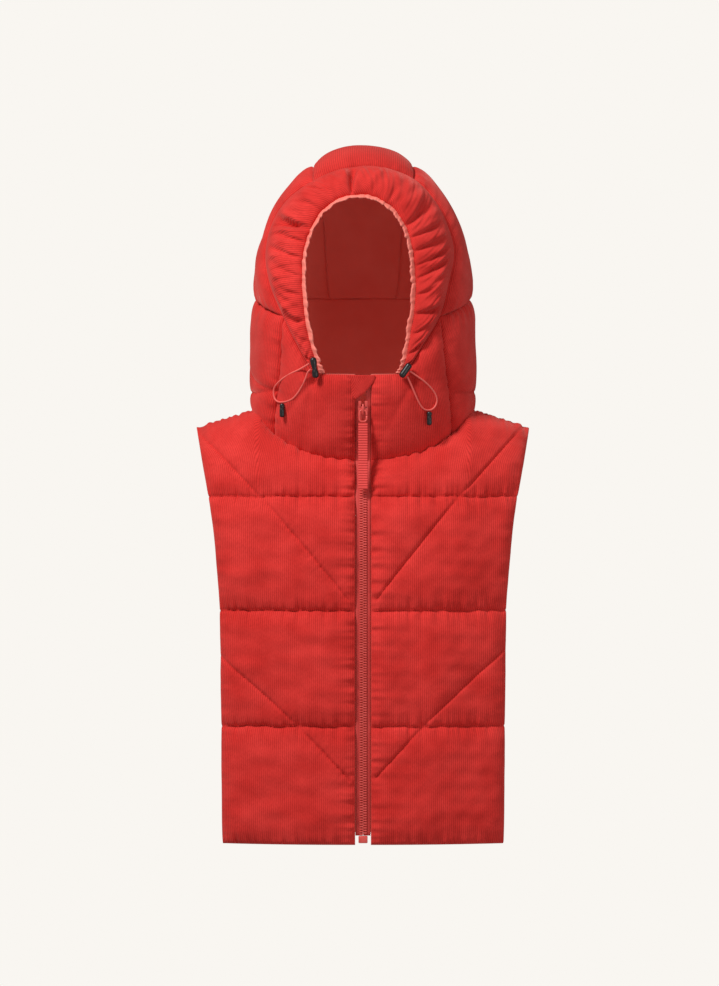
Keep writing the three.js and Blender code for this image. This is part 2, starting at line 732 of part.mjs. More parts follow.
// Padded in horizontal channels, so the thickness falls to nothing at each quilt seam.
function bodyHeights(distances, j) {
  const perChannel = CHANNEL_ROWS.length - 1;
  const s = CHANNEL_ROWS[j % perChannel];
  const rise = Math.sqrt(Math.max(0, 1 - (2 * s - 1) ** 2));
  const share = rise * padRise(distances.left) * padRise(distances.right);
  return [SEAM_HALF_THICK + PAD_OUT * share, -SEAM_HALF_THICK - PAD_IN * share];
}

function bodyPiece(name, grid, topNormals, middleColumn) {
  const normals = slopeNormals(grid, BODY_MIDDLE);
  topNormals.forEach((normal, i) => {
    normals[0][i] = normal;
  });
  const made = sheet(grid, (point, i, j) => normals[j][i], (d, i, j) => bodyHeights(d, j));
  const underNeck = (i) => Math.abs(i - middleColumn) <= BODY_ACROSS_NECK;
  const gapAt = (i) => (underNeck(i) ? NECK_HALF_GAP : SEAM_HALF_GAP);
  return mesh(name, solidFromSheets([stopShort(made, gapAt)]), "corduroy");
}

function frontPiece(name, side) {
  const { grid, topNormals } = bodyGrid(side, -1);
  return bodyPiece(name, grid, topNormals, 0);
}

function backPiece() {
  const right = bodyGrid(-1, 1);
  const left = bodyGrid(1, 1);
  const normals = [...right.topNormals.slice(1).reverse(), ...left.topNormals];
  const middleColumn = right.topNormals.length - 1;
  return bodyPiece("back", joinHalves(right.grid, left.grid), normals, middleColumn);
}

// ---------------------------------------------------------------- zip

const TAPE_EDGE = 9.7; // the tape's outer edge, just clear of the front's edge
const TAPE_INNER = 0.4;
const TAPE_SPLIT_INNER = 3.6; // above the slider the two tapes stand apart
const TAPE_HALF_THICK = 0.6;
const CHAIN_HALF = 4.4;
const CHAIN_BACK = 0.9; // the chain's back and front, ahead of the tape's middle
const CHAIN_FRONT = 3.6;
const ZIP_FOOT_Z = -543;
const SLIDER_HALF_HEIGHT = 13;
const ZIP_ROWS_Z = [ZIP_FOOT_Z, -404, -300, -256, -200, -150, -111, -85, -64, -45, -20, 20, 38];

function zipMiddle(z) {
  if (z > -NECK_DROP_FRONT) return hoodFront(0, z);
  return bodyPoint(neckPoint(0), 0, -1, z).setX(0);
}

// A strip of the zip between two distances from its middle, with two heights over it.
function zipStrip(name, side, innerAt, outerEdge, rowsZ, heights, material) {
  const grid = rowsZ.map((z) =>
    [innerAt(z), outerEdge].map((across) => zipMiddle(z).setX(side * across)),
  );
  const normals = slopeNormals(grid, vector(0, 0, -100));
  const made = sheet(grid, (point, i, j) => normals[j][0], () => heights);
  return mesh(name, solidFromSheets([made]), material);
}

function zipTape(name, side) {
  const inner = (z) => (z > -20 ? TAPE_SPLIT_INNER : TAPE_INNER);
  const heights = [TAPE_HALF_THICK, -TAPE_HALF_THICK];
  return zipStrip(name, side, inner, TAPE_EDGE, ZIP_ROWS_Z, heights, "zip");
}

function zipChain(name, side) {
  const rows = ZIP_ROWS_Z.filter((z) => z < 0);
  const heights = [CHAIN_FRONT, CHAIN_BACK];
  return zipStrip(name, side, () => 0.2, CHAIN_HALF, rows, heights, "zip");
}

function boxBetween(low, high) {
  const size = high.clone().sub(low);
  const middle = low.clone().add(high).multiplyScalar(0.5);
  return new THREE.BoxGeometry(size.x, size.y, size.z).translate(middle.x, middle.y, middle.z);
}

// The slider's own frame stands on the zip between two of its rows: +Z up along the zip,
// and -Y ahead of it.
const SLIDER_LOW_Z = -20;
const SLIDER_HIGH_Z = 20;
const PLATE = { half: 6.2, low: -13, high: 13, front: 4, thick: 2.4, back: -1 };
const POST = { half: 1.6, low: 7, high: 12 };
const BAIL = { half: 1.3, low: -0.8, high: 9.4, top: 12.4, thick: 1.4 };
const PIVOT = { ahead: 8.7, up: 2 };
const PULL = { half: 6, hole: 3.4, bar: 1.1, holeFoot: -9, foot: -14, thick: 2 };
const WEBBING = { half: 6, thick: 2.8, top: -14.3, foot: -99 };

function sliderFrame() {
  const low = zipMiddle(SLIDER_LOW_Z);
  const high = zipMiddle(SLIDER_HIGH_Z);
  const frame = new THREE.Group();
  frame.position.copy(mixPoints(low, high, 0.5));
  frame.rotation.x = Math.atan2(low.y - high.y, high.z - low.z);
  return frame;
}

// A box given by its half width, its reach ahead of the zip and its heights.
function aheadBox(half, nearest, farthest, low, high) {
  return boxBetween(vector(-half, -farthest, low), vector(half, -nearest, high));
}

function sliderPiece() {
  const { half, low, high, front, thick, back } = PLATE;
  const bailFoot = front + thick - 0.4;
  const geometry = joined([
    aheadBox(half, front, front + thick, low, high),
    aheadBox(half, back - thick, back, low, high),
    aheadBox(POST.half, back - 0.5, front + 0.5, POST.low, POST.high),
    aheadBox(BAIL.half, bailFoot, BAIL.top, BAIL.low, BAIL.low + BAIL.thick),
    aheadBox(BAIL.half, bailFoot, BAIL.top, BAIL.high - BAIL.thick, BAIL.high),
    aheadBox(BAIL.half, BAIL.top - BAIL.thick, BAIL.top, BAIL.low, BAIL.high),
  ]);
  return mesh("zip_slider", geometry, "zip");
}

function pullLoopPiece() {
  const near = PIVOT.ahead - PULL.thick / 2;
  const far = PIVOT.ahead + PULL.thick / 2;
  const bar = new THREE.CylinderGeometry(PULL.bar, PULL.bar, 2 * PULL.half, 16);
  bar.rotateZ(Math.PI / 2).translate(0, -PIVOT.ahead, PIVOT.up);
  const leg = (side) => {
    const xs = [side * PULL.hole, side * PULL.half].sort((a, b) => a - b);
    return boxBetween(vector(xs[0], -far, PULL.foot), vector(xs[1], -near, PIVOT.up + PULL.bar));
  };
  const foot = aheadBox(PULL.half, near, far, PULL.foot, PULL.holeFoot);
  return mesh("zip_pull_loop", joined([bar, leg(-1), leg(1), foot]), "zip");
}

function webbingPiece() {
  const near = PIVOT.ahead - WEBBING.thick / 2;
  const far = PIVOT.ahead + WEBBING.thick / 2;
  const geometry = aheadBox(WEBBING.half, near, far, WEBBING.foot, WEBBING.top);
  return mesh("zip_pull_webbing", geometry, "webbing");
}

function zipBoxPiece() {
  const middle = zipMiddle(-548);
  const geometry = aheadBox(6, -2, 4.5, -553, ZIP_FOOT_Z - 0.3).translate(0, middle.y, 0);
  return mesh("zip_box", geometry, "zip");
}

// The garage folds over the top of the zip. Its lower edge rises to the wearer's left.
const GARAGE_EDGE = [
  { x: -21, z: 39 },
  { x: -12, z: 16 },
  { x: -5, z: 17.5 },
  { x: 4, z: 25 },
  { x: 10, z: 32 },
  { x: 15, z: 40 },
];
const GARAGE_AHEAD = 4.6;
const GARAGE_THICK = 2.2;

function garagePiece() {
  const heightOver = (x, z) => {
    const fromZip = Math.max(0, Math.abs(x) - ZIP_HALF);
    const pad = PAD_OUT * padRise(fromZip) * padRise(COLLAR_TOP_Z - z);
    return Math.max(GARAGE_AHEAD, SEAM_HALF_THICK + pad + 0.8);
  };
  const grid = steps(4).map((t) =>
    GARAGE_EDGE.map(({ x, z }) => {
      const height = mix(z, COLLAR_TOP_Z, t);
      return hoodFront(x, height);
    }),
  );
  const heightsAt = (distances, i, j) => {
    const point = grid[j][i];
    const foot = heightOver(point.x, point.z);
    return [foot + GARAGE_THICK, foot];
  };
  return mesh("zip_garage", solidFromSheets([sheet(grid, hoodNormal, heightsAt)]), "corduroy");
}

// ---------------------------------------------------------------- drawcord

const CORD_RADIUS = 1.1;
const LOCK = { radius: 4.3, sides: 12 };
const CORD_END = { radius: 3.4, length: 18, ahead: 2.5 };

// Each loop leaves its lock, hangs to the cord end and goes back into the lock.
const CORD_RIGHT = [
  [-68.4, -124.9, 59.1],
  [-80.5, -118.4, 52.1],
  [-95.4, -107.7, 45.3],
  [-106.9, -96.2, 37.1],
  [-113.4, -87.8, 29.7],
  [-114.7, -85.3, 22.3],
  [-113, -86.4, 14.8],
  [-108.9, -90.5, 11.1],
  [-103.6, -95.6, 10.4],
  [-97.4, -100.9, 11.4],
  [-90, -106.6, 14.8],
  [-83.2, -111.9, 22.3],
  [-77.2, -116.8, 32.4],
  [-73.1, -120.3, 41.2],
  [-70.4, -122.8, 48],
  [-66.3, -125, 52],
];
const CORD_LEFT = [
  [59.6, -127.1, 49.3],
  [68.5, -122.7, 43.3],
  [78, -117.2, 36.5],
  [86, -111.4, 29.1],
  [92.2, -106.2, 20.9],
  [94.5, -103.4, 13.4],
  [93.2, -103.2, 6.7],
  [89.5, -104.9, 1.9],
  [84.7, -107.3, -0.1],
  [79.2, -110.3, 0.5],
  [74.5, -113.2, 4.6],
  [69.8, -116.7, 12.8],
  [65, -120.5, 23.6],
  [60.9, -123.6, 33],
  [56.2, -126.9, 42.6],
];
const LOCK_RIGHT = [[-64.1, -129, 67.2], [-59.9, -126.8, 40.3]];
const LOCK_LEFT = [[60.2, -127.9, 58.9], [48, -128.9, 41.6]];

function cordPiece(name, places) {
  const curve = new THREE.CatmullRomCurve3(places.map((place) => vector(...place)));
  const section = new THREE.Shape();
  steps(8).slice(0, 8).forEach((t, i) => {
    const [x, y] = [Math.cos(2 * Math.PI * t) * CORD_RADIUS, Math.sin(2 * Math.PI * t) * CORD_RADIUS];
    if (i) section.lineTo(x, y);
    else section.moveTo(x, y);
  });
  const options = { steps: 36, bevelEnabled: false, extrudePath: curve };
  return mesh(name, new THREE.ExtrudeGeometry(section, options), "cord");
}

function lockPiece(name, [top, foot]) {
  const from = vector(...top);
  const to = vector(...foot);
  const geometry = new THREE.CylinderGeometry(LOCK.radius, LOCK.radius, from.distanceTo(to), LOCK.sides);
  const made = mesh(name, geometry, "black_plastic");
  made.position.copy(mixPoints(from, to, 0.5));
  made.quaternion.setFromUnitVectors(vector(0, 1, 0), from.clone().sub(to).normalize());
  return made;
}

// The cord end hangs from the lowest point of its loop.
function cordEndPiece(name, places) {
  const [x, y, z] = places.reduce((low, place) => (place[2] < low[2] ? place : low));
  const geometry = new THREE.CylinderGeometry(CORD_END.radius, CORD_END.radius, CORD_END.length, 12);
  const made = mesh(name, geometry.rotateX(Math.PI / 2), "black_plastic");
  made.position.set(x, y - CORD_END.ahead, z - CORD_RADIUS - 0.5 - CORD_END.length / 2);
  return made;
}

// ---------------------------------------------------------------- the garment

const garment = new THREE.Group();
garment.add(
  frontPiece("front_right", -1),
  frontPiece("front_left", 1),
  backPiece(),
  hoodPiece("collar_right", collarEdges(-1), true),
  hoodPiece("collar_left", collarEdges(1), true),
  hoodPiece("hood_base", baseEdges(), true),
  hoodPiece("hood_side_right", sideEdges(-1), false),
  hoodPiece("hood_side_left", sideEdges(1), false),
  hoodPiece("hood_crown", crownEdges(), false),
  brimPiece(),
  facingPiece(),
  liningPiece(),
  garagePiece(),
  zipTape("zip_tape_right", -1),
  zipTape("zip_tape_left", 1),
  zipChain("zip_chain_right", -1),
  zipChain("zip_chain_left", 1),
  zipBoxPiece(),
  cordPiece("cord_right", CORD_RIGHT),
  cordPiece("cord_left", CORD_LEFT),
  lockPiece("cord_lock_right", LOCK_RIGHT),
  lockPiece("cord_lock_left", LOCK_LEFT),
  cordEndPiece("cord_end_right", CORD_RIGHT),
  cordEndPiece("cord_end_left", CORD_LEFT),
);

const slider = sliderFrame();
slider.add(sliderPiece());
garment.add(slider);

// The pull hangs straight down from its pivot on the slider.
const pivot = vector(0, -PIVOT.ahead, PIVOT.up);
const pull = new THREE.Group();
slider.updateMatrix();
pull.position.copy(pivot.clone().applyMatrix4(slider.matrix).sub(pivot));
pull.add(pullLoopPiece(), webbingPiece());
garment.add(pull);

export default garment;
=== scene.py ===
"""The looks of a hooded corduroy puffer bib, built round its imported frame."""

import math

import bpy
import numpy as np
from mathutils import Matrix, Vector


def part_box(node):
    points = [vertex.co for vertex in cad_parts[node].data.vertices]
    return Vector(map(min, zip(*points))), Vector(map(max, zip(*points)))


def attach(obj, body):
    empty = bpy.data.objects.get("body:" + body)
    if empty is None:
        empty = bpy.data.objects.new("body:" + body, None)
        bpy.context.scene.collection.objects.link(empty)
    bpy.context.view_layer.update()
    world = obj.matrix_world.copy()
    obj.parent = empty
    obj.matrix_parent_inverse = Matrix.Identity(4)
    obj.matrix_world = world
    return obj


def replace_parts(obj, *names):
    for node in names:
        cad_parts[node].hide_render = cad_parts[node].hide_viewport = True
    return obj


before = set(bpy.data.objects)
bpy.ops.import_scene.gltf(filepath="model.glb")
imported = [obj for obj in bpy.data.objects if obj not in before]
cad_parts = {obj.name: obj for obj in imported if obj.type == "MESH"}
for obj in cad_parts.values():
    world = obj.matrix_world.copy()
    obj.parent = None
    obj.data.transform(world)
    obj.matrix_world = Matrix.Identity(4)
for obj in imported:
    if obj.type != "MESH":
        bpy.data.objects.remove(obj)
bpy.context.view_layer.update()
MM = 0.001  # all shapes below are worked out in millimetres

# ---------------------------------------------------------------- sizes shared with the frame

ZIP_HALF = 10.1
HEM_Z = -555.0
QUILT_Z = [-111.0, -256.0, -404.0, HEM_Z]
SHOULDER_TIP = np.array([215.0, 0.0, -23.0])
COLLAR_TOP_Z = 45.0
RIDGE_BACK_Z = 150.0
NECK_DROP_FRONT = 64.0
NECK_RISE_BACK = 10.0
HOOD_CENTRE = np.array([0.0, 10.0, 130.0])
DOME_FOOT_Z = 150.0
DOME_HEIGHT = 186.0
HOOD_POWER = 2.3
SIDE_SEAM_X = 112.0
CROWN_TOP_X = 62.0
CROWN_BACK_X = 50.0
SIDE_CURVE = 0.26
SIDE_CURVE_POWER = 2.4
SHOULDER_ROUND = 130.0
FACING_SHOW = 6.0
BRIM_PLANE_Y = -119.0

# columns: height, half width, depth to the front, depth to the back
HOOD_SECTIONS = np.array([
    [-64, 128, 92, 92],
    [0, 136, 111, 97],
    [50, 136, 121, 115],
    [100, 135, 127, 134],
    [150, 133, 131, 147],
    [200, 133, 131, 152],
], float)
BODY_SECTIONS = np.array([
    [-23, 215, 112, 96],
    [-64, 206, 115, 102],
    [-105, 198, 118, 106],
    [-146, 191, 121, 108],
    [-197, 186, 123, 109],
    [-256, 182, 124, 108],
    [-404, 180, 122, 106],
    [-555, 179, 118, 104],
], float)[::-1]
HALF, FRONT, BACK = 1, 2, 3

# columns: the brim's seam x and z, and its free edge x and z
BRIM = np.array([
    [-62, 46, -50, 47],
    [-78, 74, -58, 67],
    [-100, 120, -69, 108],
    [-116, 163, -74, 150],
    [-122, 200, -75, 190],
    [-115, 237, -69, 220],
    [-96, 268, -56, 246],
    [-62, 291, -38, 263],
    [-17, 308, -14, 272],
    [27, 308, 13, 270],
    [64, 295, 36, 256],
    [90, 268, 52, 233],
    [106, 237, 60, 206],
    [114, 203, 63, 175],
    [107, 163, 63, 141],
    [96, 120, 57, 98],
    [70, 74, 50, 62],
    [54, 46, 44, 47],
], float)
LAST_ROW = len(BRIM) - 1
RIDGE_ROW, CROWN_ROW = 2, 7

# ---------------------------------------------------------------- curves and the hood's surface


def smooth(t):
    t = np.clip(t, 0, 1)
    return t * t * (3 - 2 * t)


def mix(a, b, t):
    return a + (b - a) * t


def column_at(table, z, column):
    """One column of a section table, as a smooth curve through its rows."""
    rows, values = table[:, 0], table[:, column]
    z = np.clip(np.asarray(z, float), rows[0], rows[-1])
    k = np.clip(np.searchsorted(rows, z) - 1, 0, len(rows) - 2)
    low, high = np.maximum(np.arange(len(rows)) - 1, 0), np.minimum(np.arange(len(rows)) + 1, len(rows) - 1)
    slopes = (values[high] - values[low]) / (rows[high] - rows[low])
    span = rows[k + 1] - rows[k]
    t = (z - rows[k]) / span
    ease = values[k] * (1 + 2 * t) * (1 - t) ** 2 + values[k + 1] * t * t * (3 - 2 * t)
    return ease + t * (1 - t) ** 2 * span * slopes[k] + t * t * (t - 1) * span * slopes[k + 1]


def spline(points, t):
    """A smooth curve through points, with t from 0 to 1 over equal steps between them."""
    points = np.asarray(points, float)
    last = len(points) - 1
    s = np.clip(np.asarray(t, float), 0, 1) * last
    k = np.minimum(s.astype(int), last - 1)
    f = (s - k)[..., None]
    before = np.where((k > 0)[..., None], points[np.maximum(k - 1, 0)], 2 * points[0] - points[1])
    beyond = 2 * points[last] - points[last - 1]
    after = np.where((k + 2 <= last)[..., None], points[np.minimum(k + 2, last)], beyond)
    a, b = points[k], points[k + 1]
    return 0.5 * (
        2 * a + (b - before) * f + (2 * before - 5 * a + 4 * b - after) * f**2
        + (3 * a - before - 3 * b + after) * f**3
    )


def hood_field(p):
    x, y, z = p[..., 0], p[..., 1], p[..., 2]
    depth = np.where(y < 0, column_at(HOOD_SECTIONS, z, FRONT), column_at(HOOD_SECTIONS, z, BACK))
    ring = np.abs(x / column_at(HOOD_SECTIONS, z, HALF)) ** HOOD_POWER + np.abs(y / depth) ** HOOD_POWER
    rise = np.maximum(0, (z - DOME_FOOT_Z) / DOME_HEIGHT)
    return ring ** (2 / HOOD_POWER) + rise**2


def onto_hood(p):
    ray = np.asarray(p, float) - HOOD_CENTRE
    near, far = np.full(ray.shape[:-1], 0.2), np.full(ray.shape[:-1], 4.0)
    for _ in range(32):
        middle = (near + far) / 2
        inside = hood_field(HOOD_CENTRE + ray * middle[..., None]) < 1
        near, far = np.where(inside, middle, near), np.where(inside, far, middle)
    return HOOD_CENTRE + ray * near[..., None]


def hood_front(x, z):
    x, z = np.asarray(x, float), np.asarray(z, float)
    rise = np.maximum(0, (z - DOME_FOOT_Z) / DOME_HEIGHT)
    room = np.maximum(0, 1 - rise**2) ** (HOOD_POWER / 2)
    room = room - np.abs(x / column_at(HOOD_SECTIONS, z, HALF)) ** HOOD_POWER
    y = -column_at(HOOD_SECTIONS, z, FRONT) * np.maximum(0, room) ** (1 / HOOD_POWER)
    return np.stack(np.broadcast_arrays(x, y, z), -1)


def hood_normal(p):
    h = 0.5
    steps = np.eye(3) * h
    slope = np.stack([hood_field(p + s) - hood_field(p - s) for s in steps], -1)
    return unit(slope)


def unit(v):
    return v / np.maximum(np.linalg.norm(v, axis=-1, keepdims=True), 1e-9)


def neck_point(turn):
    turn = np.asarray(turn, float)
    ahead = np.cos(turn)
    z = np.where(ahead > 0, -NECK_DROP_FRONT * ahead, -NECK_RISE_BACK * ahead)
    depth = np.where(ahead > 0, column_at(HOOD_SECTIONS, z, FRONT), column_at(HOOD_SECTIONS, z, BACK))
    power = 2 / HOOD_POWER
    across = np.sign(np.sin(turn)) * np.abs(np.sin(turn)) ** power
    y = -np.sign(ahead) * depth * np.abs(ahead) ** power
    return np.stack([column_at(HOOD_SECTIONS, z, HALF) * across, y, z], -1)


def neck_turn_at(x):
    turns = np.linspace(0, math.pi / 2, 4000)
    return math.copysign(float(np.interp(abs(x), neck_point(turns)[:, 0], turns)), x)


def brim_seam(row):
    plan = spline(BRIM, np.asarray(row) / LAST_ROW)
    return hood_front(plan[..., 0], plan[..., 1])


def brim_edge(row):
    row = np.asarray(row, float)
    plan = spline(BRIM, row / LAST_ROW)
    on_hood = hood_front(plan[..., 2], plan[..., 3])
    from_end = np.minimum(row, LAST_ROW - row)
    on_hood[..., 1] = mix(on_hood[..., 1], BRIM_PLANE_Y, smooth(from_end / 2))
    return on_hood


def brim_row(side, from_end):
    return from_end if side < 0 else LAST_ROW - from_end


def brim_run(side, start, end, count):
    return brim_seam(np.linspace(brim_row(side, start), brim_row(side, end), count + 1))


def hood_run(places, count):
    return onto_hood(spline(places, np.linspace(0, 1, count + 1)))


def crown_seam(side, count):
    start = brim_seam(brim_row(side, CROWN_ROW))
    top = onto_hood([side * CROWN_TOP_X, 20, 320])
    behind = onto_hood([side * CROWN_TOP_X, 130, 250])
    foot = onto_hood([side * CROWN_BACK_X, 145, RIDGE_BACK_Z])
    return hood_run([start, top, behind, foot], count)


def ridge_seam(side, count):
    start = brim_seam(brim_row(side, RIDGE_ROW))
    flank = onto_hood([side * 135, -10, 145])
    behind = onto_hood([side * 110, 100, RIDGE_BACK_Z])
    foot = onto_hood([side * CROWN_BACK_X, 145, RIDGE_BACK_Z])
    return hood_run([start, flank, behind, foot], count)


def collar_side_seam(side, count):
    start = neck_point(neck_turn_at(side * SIDE_SEAM_X))
    return hood_run([start, hood_front(side * 104, 50), brim_seam(brim_row(side, RIDGE_ROW))], count)


def even(points, count):
    """The same run with its points evenly spaced."""
    lengths = np.concatenate([[0], np.cumsum(np.linalg.norm(np.diff(points, axis=0), axis=1))])
    where = np.linspace(0, lengths[-1], count + 1)
    return np.stack([np.interp(where, lengths, points[:, i]) for i in range(3)], -1)


# ---------------------------------------------------------------- sheets of points


def fill_between(bottom, top, left, right):
    u = np.linspace(0, 1, len(bottom))[None, :, None]
    v = np.linspace(0, 1, len(left))[:, None, None]
    across = mix(left[:, None], right[:, None], u)
    along = mix(bottom[None], top[None], v)
    corners = mix(mix(bottom[0], bottom[-1], u), mix(top[0], top[-1], u), v)
    return across + along - corners


def hood_patch(bottom, top, left, right):
    grid = fill_between(bottom, top, left, right)
    inner = onto_hood(grid[1:-1, 1:-1])
    grid[1:-1, 1:-1] = inner
    return grid


def distances(grid):
    """Lengths along the grid's lines from the left, right, bottom and top edges."""
    across = np.linalg.norm(np.diff(grid, axis=1), axis=-1)
    along = np.linalg.norm(np.diff(grid, axis=0), axis=-1)
    left = np.concatenate([np.zeros((grid.shape[0], 1)), np.cumsum(across, 1)], 1)
    bottom = np.concatenate([np.zeros((1, grid.shape[1])), np.cumsum(along, 0)], 0)
    return left, left[:, -1:] - left, bottom, bottom[-1:] - bottom


def slope_normals(grid, away_from=None):
    across = np.gradient(grid, axis=1)
    along = np.gradient(grid, axis=0)
    normal = unit(np.cross(across, along))
    if away_from is not None:
        flip = np.sum(normal * (grid - away_from), -1, keepdims=True) < 0
        normal = np.where(flip, -normal, normal)
    return normal


def rise(distance, reach):
    t = np.clip(distance / reach, 0, 1)
    return np.sqrt(np.maximum(0, 1 - (1 - t) ** 2))


def ripple(x, wave, seed, octaves=3):
    """A smooth uneven wave along a line, from about -1 to 1."""
    draw = np.random.default_rng(seed)
    total = np.zeros_like(np.asarray(x, float))
    for k in range(octaves):
        for _ in range(3):
            length = wave * draw.uniform(0.75, 1.5) / 1.6**k
            total += np.sin(2 * math.pi * x / length + draw.uniform(0, 7)) * 0.55**k
    return total / 3.2


def lumps(a, b, wave, seed):
    """A soft uneven surface noise, from about -1 to 1."""
    draw = np.random.default_rng(seed)
    total = np.zeros(np.broadcast(a, b).shape)
    for _ in range(9):
        angle = draw.uniform(0, 2 * math.pi)
        length = wave * draw.uniform(0.7, 1.7)
        along = a * math.cos(angle) + b * math.sin(angle)
        total = total + np.sin(2 * math.pi * along / length + draw.uniform(0, 7))
    return total / 4.5


def sheet_object(name, grid, normal, outer, inner, materials):
    """A closed wall round a sheet: outer faces in the first material and inner in the last."""
    rows, columns = grid.shape[:2]
    out = grid + normal * np.broadcast_to(outer, grid.shape[:2])[..., None]
    back = grid + normal * np.broadcast_to(inner, grid.shape[:2])[..., None]
    points = np.concatenate([out.reshape(-1, 3), back.reshape(-1, 3)]) * MM
    ids = np.arange(rows * columns).reshape(rows, columns)
    quads = np.stack([ids[:-1, :-1], ids[:-1, 1:], ids[1:, 1:], ids[1:, :-1]], -1).reshape(-1, 4)
    facing = np.cross(grid[0, 1] - grid[0, 0], grid[1, 0] - grid[0, 0]) @ normal[0, 0]
    if facing < 0:
        quads = quads[:, ::-1]
    offset = rows * columns
    ring = np.concatenate([ids[0, :], ids[1:, -1], ids[-1, -2::-1], ids[-2:0:-1, 0]])
    following = np.roll(ring, -1)
    walls = np.stack([ring, ring + offset, following + offset, following], -1)
    if facing < 0:
        walls = walls[:, ::-1]
    faces = np.concatenate([quads, quads[:, ::-1] + offset, walls])
    mesh = bpy.data.meshes.new(name)
    mesh.from_pydata(points.tolist(), [], faces.tolist())
    left, _, bottom, _ = distances(grid)
    uv = np.stack([left, bottom], -1).reshape(-1, 2) * MM
    uv = np.concatenate([uv, uv])
    layer = mesh.uv_layers.new(name="cut")
    loops = np.zeros(len(mesh.loops), int)
    mesh.loops.foreach_get("vertex_index", loops)
    layer.data.foreach_set("uv", uv[loops].ravel())
    for material in materials:
        mesh.materials.append(material)
    index = np.zeros(len(faces), int)
    index[len(quads):2 * len(quads)] = len(materials) - 1
    mesh.polygons.foreach_set("material_index", index)
    mesh.polygons.foreach_set("use_smooth", np.ones(len(faces), bool))
    mesh.update()
    thing = bpy.data.objects.new(name, mesh)
    bpy.context.scene.collection.objects.link(thing)
    return thing


# ---------------------------------------------------------------- materials


def node_material(name, colour, roughness):
    """A plain material, returned with its nodes, its links and its shader."""
    material = bpy.data.materials.new(name)
    material.use_nodes = True
    nodes, links = material.node_tree.nodes, material.node_tree.links
    shader = nodes["Principled BSDF"]
    shader.inputs["Base Color"].default_value = (*colour, 1)
    shader.inputs["Roughness"].default_value = roughness
    return material, nodes, links, shader


def ramp_between(nodes, links, value, low, high, start=0.0, end=1.0):
    ramp = nodes.new("ShaderNodeValToRGB")
    ramp.color_ramp.elements[0].position = start
    ramp.color_ramp.elements[1].position = end
    ramp.color_ramp.elements[0].color = (*low, 1)
    ramp.color_ramp.elements[1].color = (*high, 1)
    links.new(value, ramp.inputs["Fac"])
    return ramp.outputs["Color"]


def noise(nodes, links, vector, scale, detail=3.0):
    made = nodes.new("ShaderNodeTexNoise")
    made.inputs["Scale"].default_value = scale
    made.inputs["Detail"].default_value = detail
    links.new(vector, made.inputs["Vector"])
    return made.outputs["Fac"]


WALE_PITCH = 0.0026
WAVE_PERIOD = 0.3141  # of a wave texture at scale 1


def corduroy_material(name, low, high, groove):
    """Fine wales that run up the piece, with painted shade darkening the grooves between them, broken up by
    the pile, with a soft nap over them.
    """
    material, nodes, links, shader = node_material(name, high, 0.92)
    shader.inputs["Sheen Weight"].default_value = 0.35
    shader.inputs["Sheen Roughness"].default_value = 0.45
    shader.inputs["Sheen Tint"].default_value = (1.0, 0.35, 0.30, 1)
    shader.inputs["Specular IOR Level"].default_value = 0.15
    uv = nodes.new("ShaderNodeUVMap").outputs["UV"]
    place = nodes.new("ShaderNodeTexCoord").outputs["Object"]
    wave = nodes.new("ShaderNodeTexWave")
    wave.bands_direction = "X"
    wave.inputs["Scale"].default_value = WAVE_PERIOD / WALE_PITCH
    wave.inputs["Distortion"].default_value = 0.5
    wave.inputs["Detail"].default_value = 1.0
    wave.inputs["Detail Scale"].default_value = 2.0
    links.new(uv, wave.inputs["Vector"])
    stretch = nodes.new("ShaderNodeMapping")
    stretch.inputs["Scale"].default_value = (1.0, 0.3, 1.0)
    links.new(uv, stretch.inputs["Vector"])
    pile = noise(nodes, links, stretch.outputs["Vector"], 900.0, 4.0)
    patches = noise(nodes, links, place, 28.0, 4.0)
    nap = ramp_between(nodes, links, patches, low, high, 0.35, 0.68)
    # painted shade: the wave lines multiply the colour darker in the grooves between the wales, by the
    # groove amount
    shade = nodes.new("ShaderNodeMixRGB")
    shade.blend_type = "MULTIPLY"
    shade.inputs["Fac"].default_value = groove
    links.new(nap, shade.inputs["Color1"])
    lines = ramp_between(nodes, links, wave.outputs["Fac"], (0.62, 0.5, 0.5), (1, 1, 1), 0.0, 0.5)
    links.new(lines, shade.inputs["Color2"])
    fleck = nodes.new("ShaderNodeMixRGB")
    fleck.blend_type = "MULTIPLY"
    fleck.inputs["Fac"].default_value = 0.55
    links.new(shade.outputs["Color"], fleck.inputs["Color1"])
    flecks = ramp_between(nodes, links, pile, (0.72, 0.62, 0.62), (1, 1, 1), 0.3, 0.6)
    links.new(flecks, fleck.inputs["Color2"])
    links.new(fleck.outputs["Color"], shader.inputs["Base Color"])
    height = nodes.new("ShaderNodeMath")
    height.operation = "MULTIPLY_ADD"
    height.inputs[1].default_value = 0.5
    links.new(pile, height.inputs[0])
    links.new(wave.outputs["Fac"], height.inputs[2])
    bump = nodes.new("ShaderNodeBump")
    bump.inputs["Strength"].default_value = 0.45
    bump.inputs["Distance"].default_value = 0.0006
    links.new(height.outputs["Value"], bump.inputs["Height"])
    links.new(bump.outputs["Normal"], shader.inputs["Normal"])
    return material


def woven_material(name, low, high, roughness, scale, strength=0.2, distance=0.0003):
    """A smooth close weave: a fine grain, and a soft change of tone."""
    material, nodes, links, shader = node_material(name, high, roughness)
    shader.inputs["Sheen Weight"].default_value = 0.1
    place = nodes.new("ShaderNodeTexCoord").outputs["Object"]
    tone = noise(nodes, links, place, 14.0, 3.0)
    links.new(ramp_between(nodes, links, tone, low, high, 0.3, 0.7), shader.inputs["Base Color"])
    grain = noise(nodes, links, place, scale, 2.0)
    bump = nodes.new("ShaderNodeBump")
    bump.inputs["Strength"].default_value = strength
    bump.inputs["Distance"].default_value = distance
    links.new(grain, bump.inputs["Height"])
    links.new(bump.outputs["Normal"], shader.inputs["Normal"])
    return material


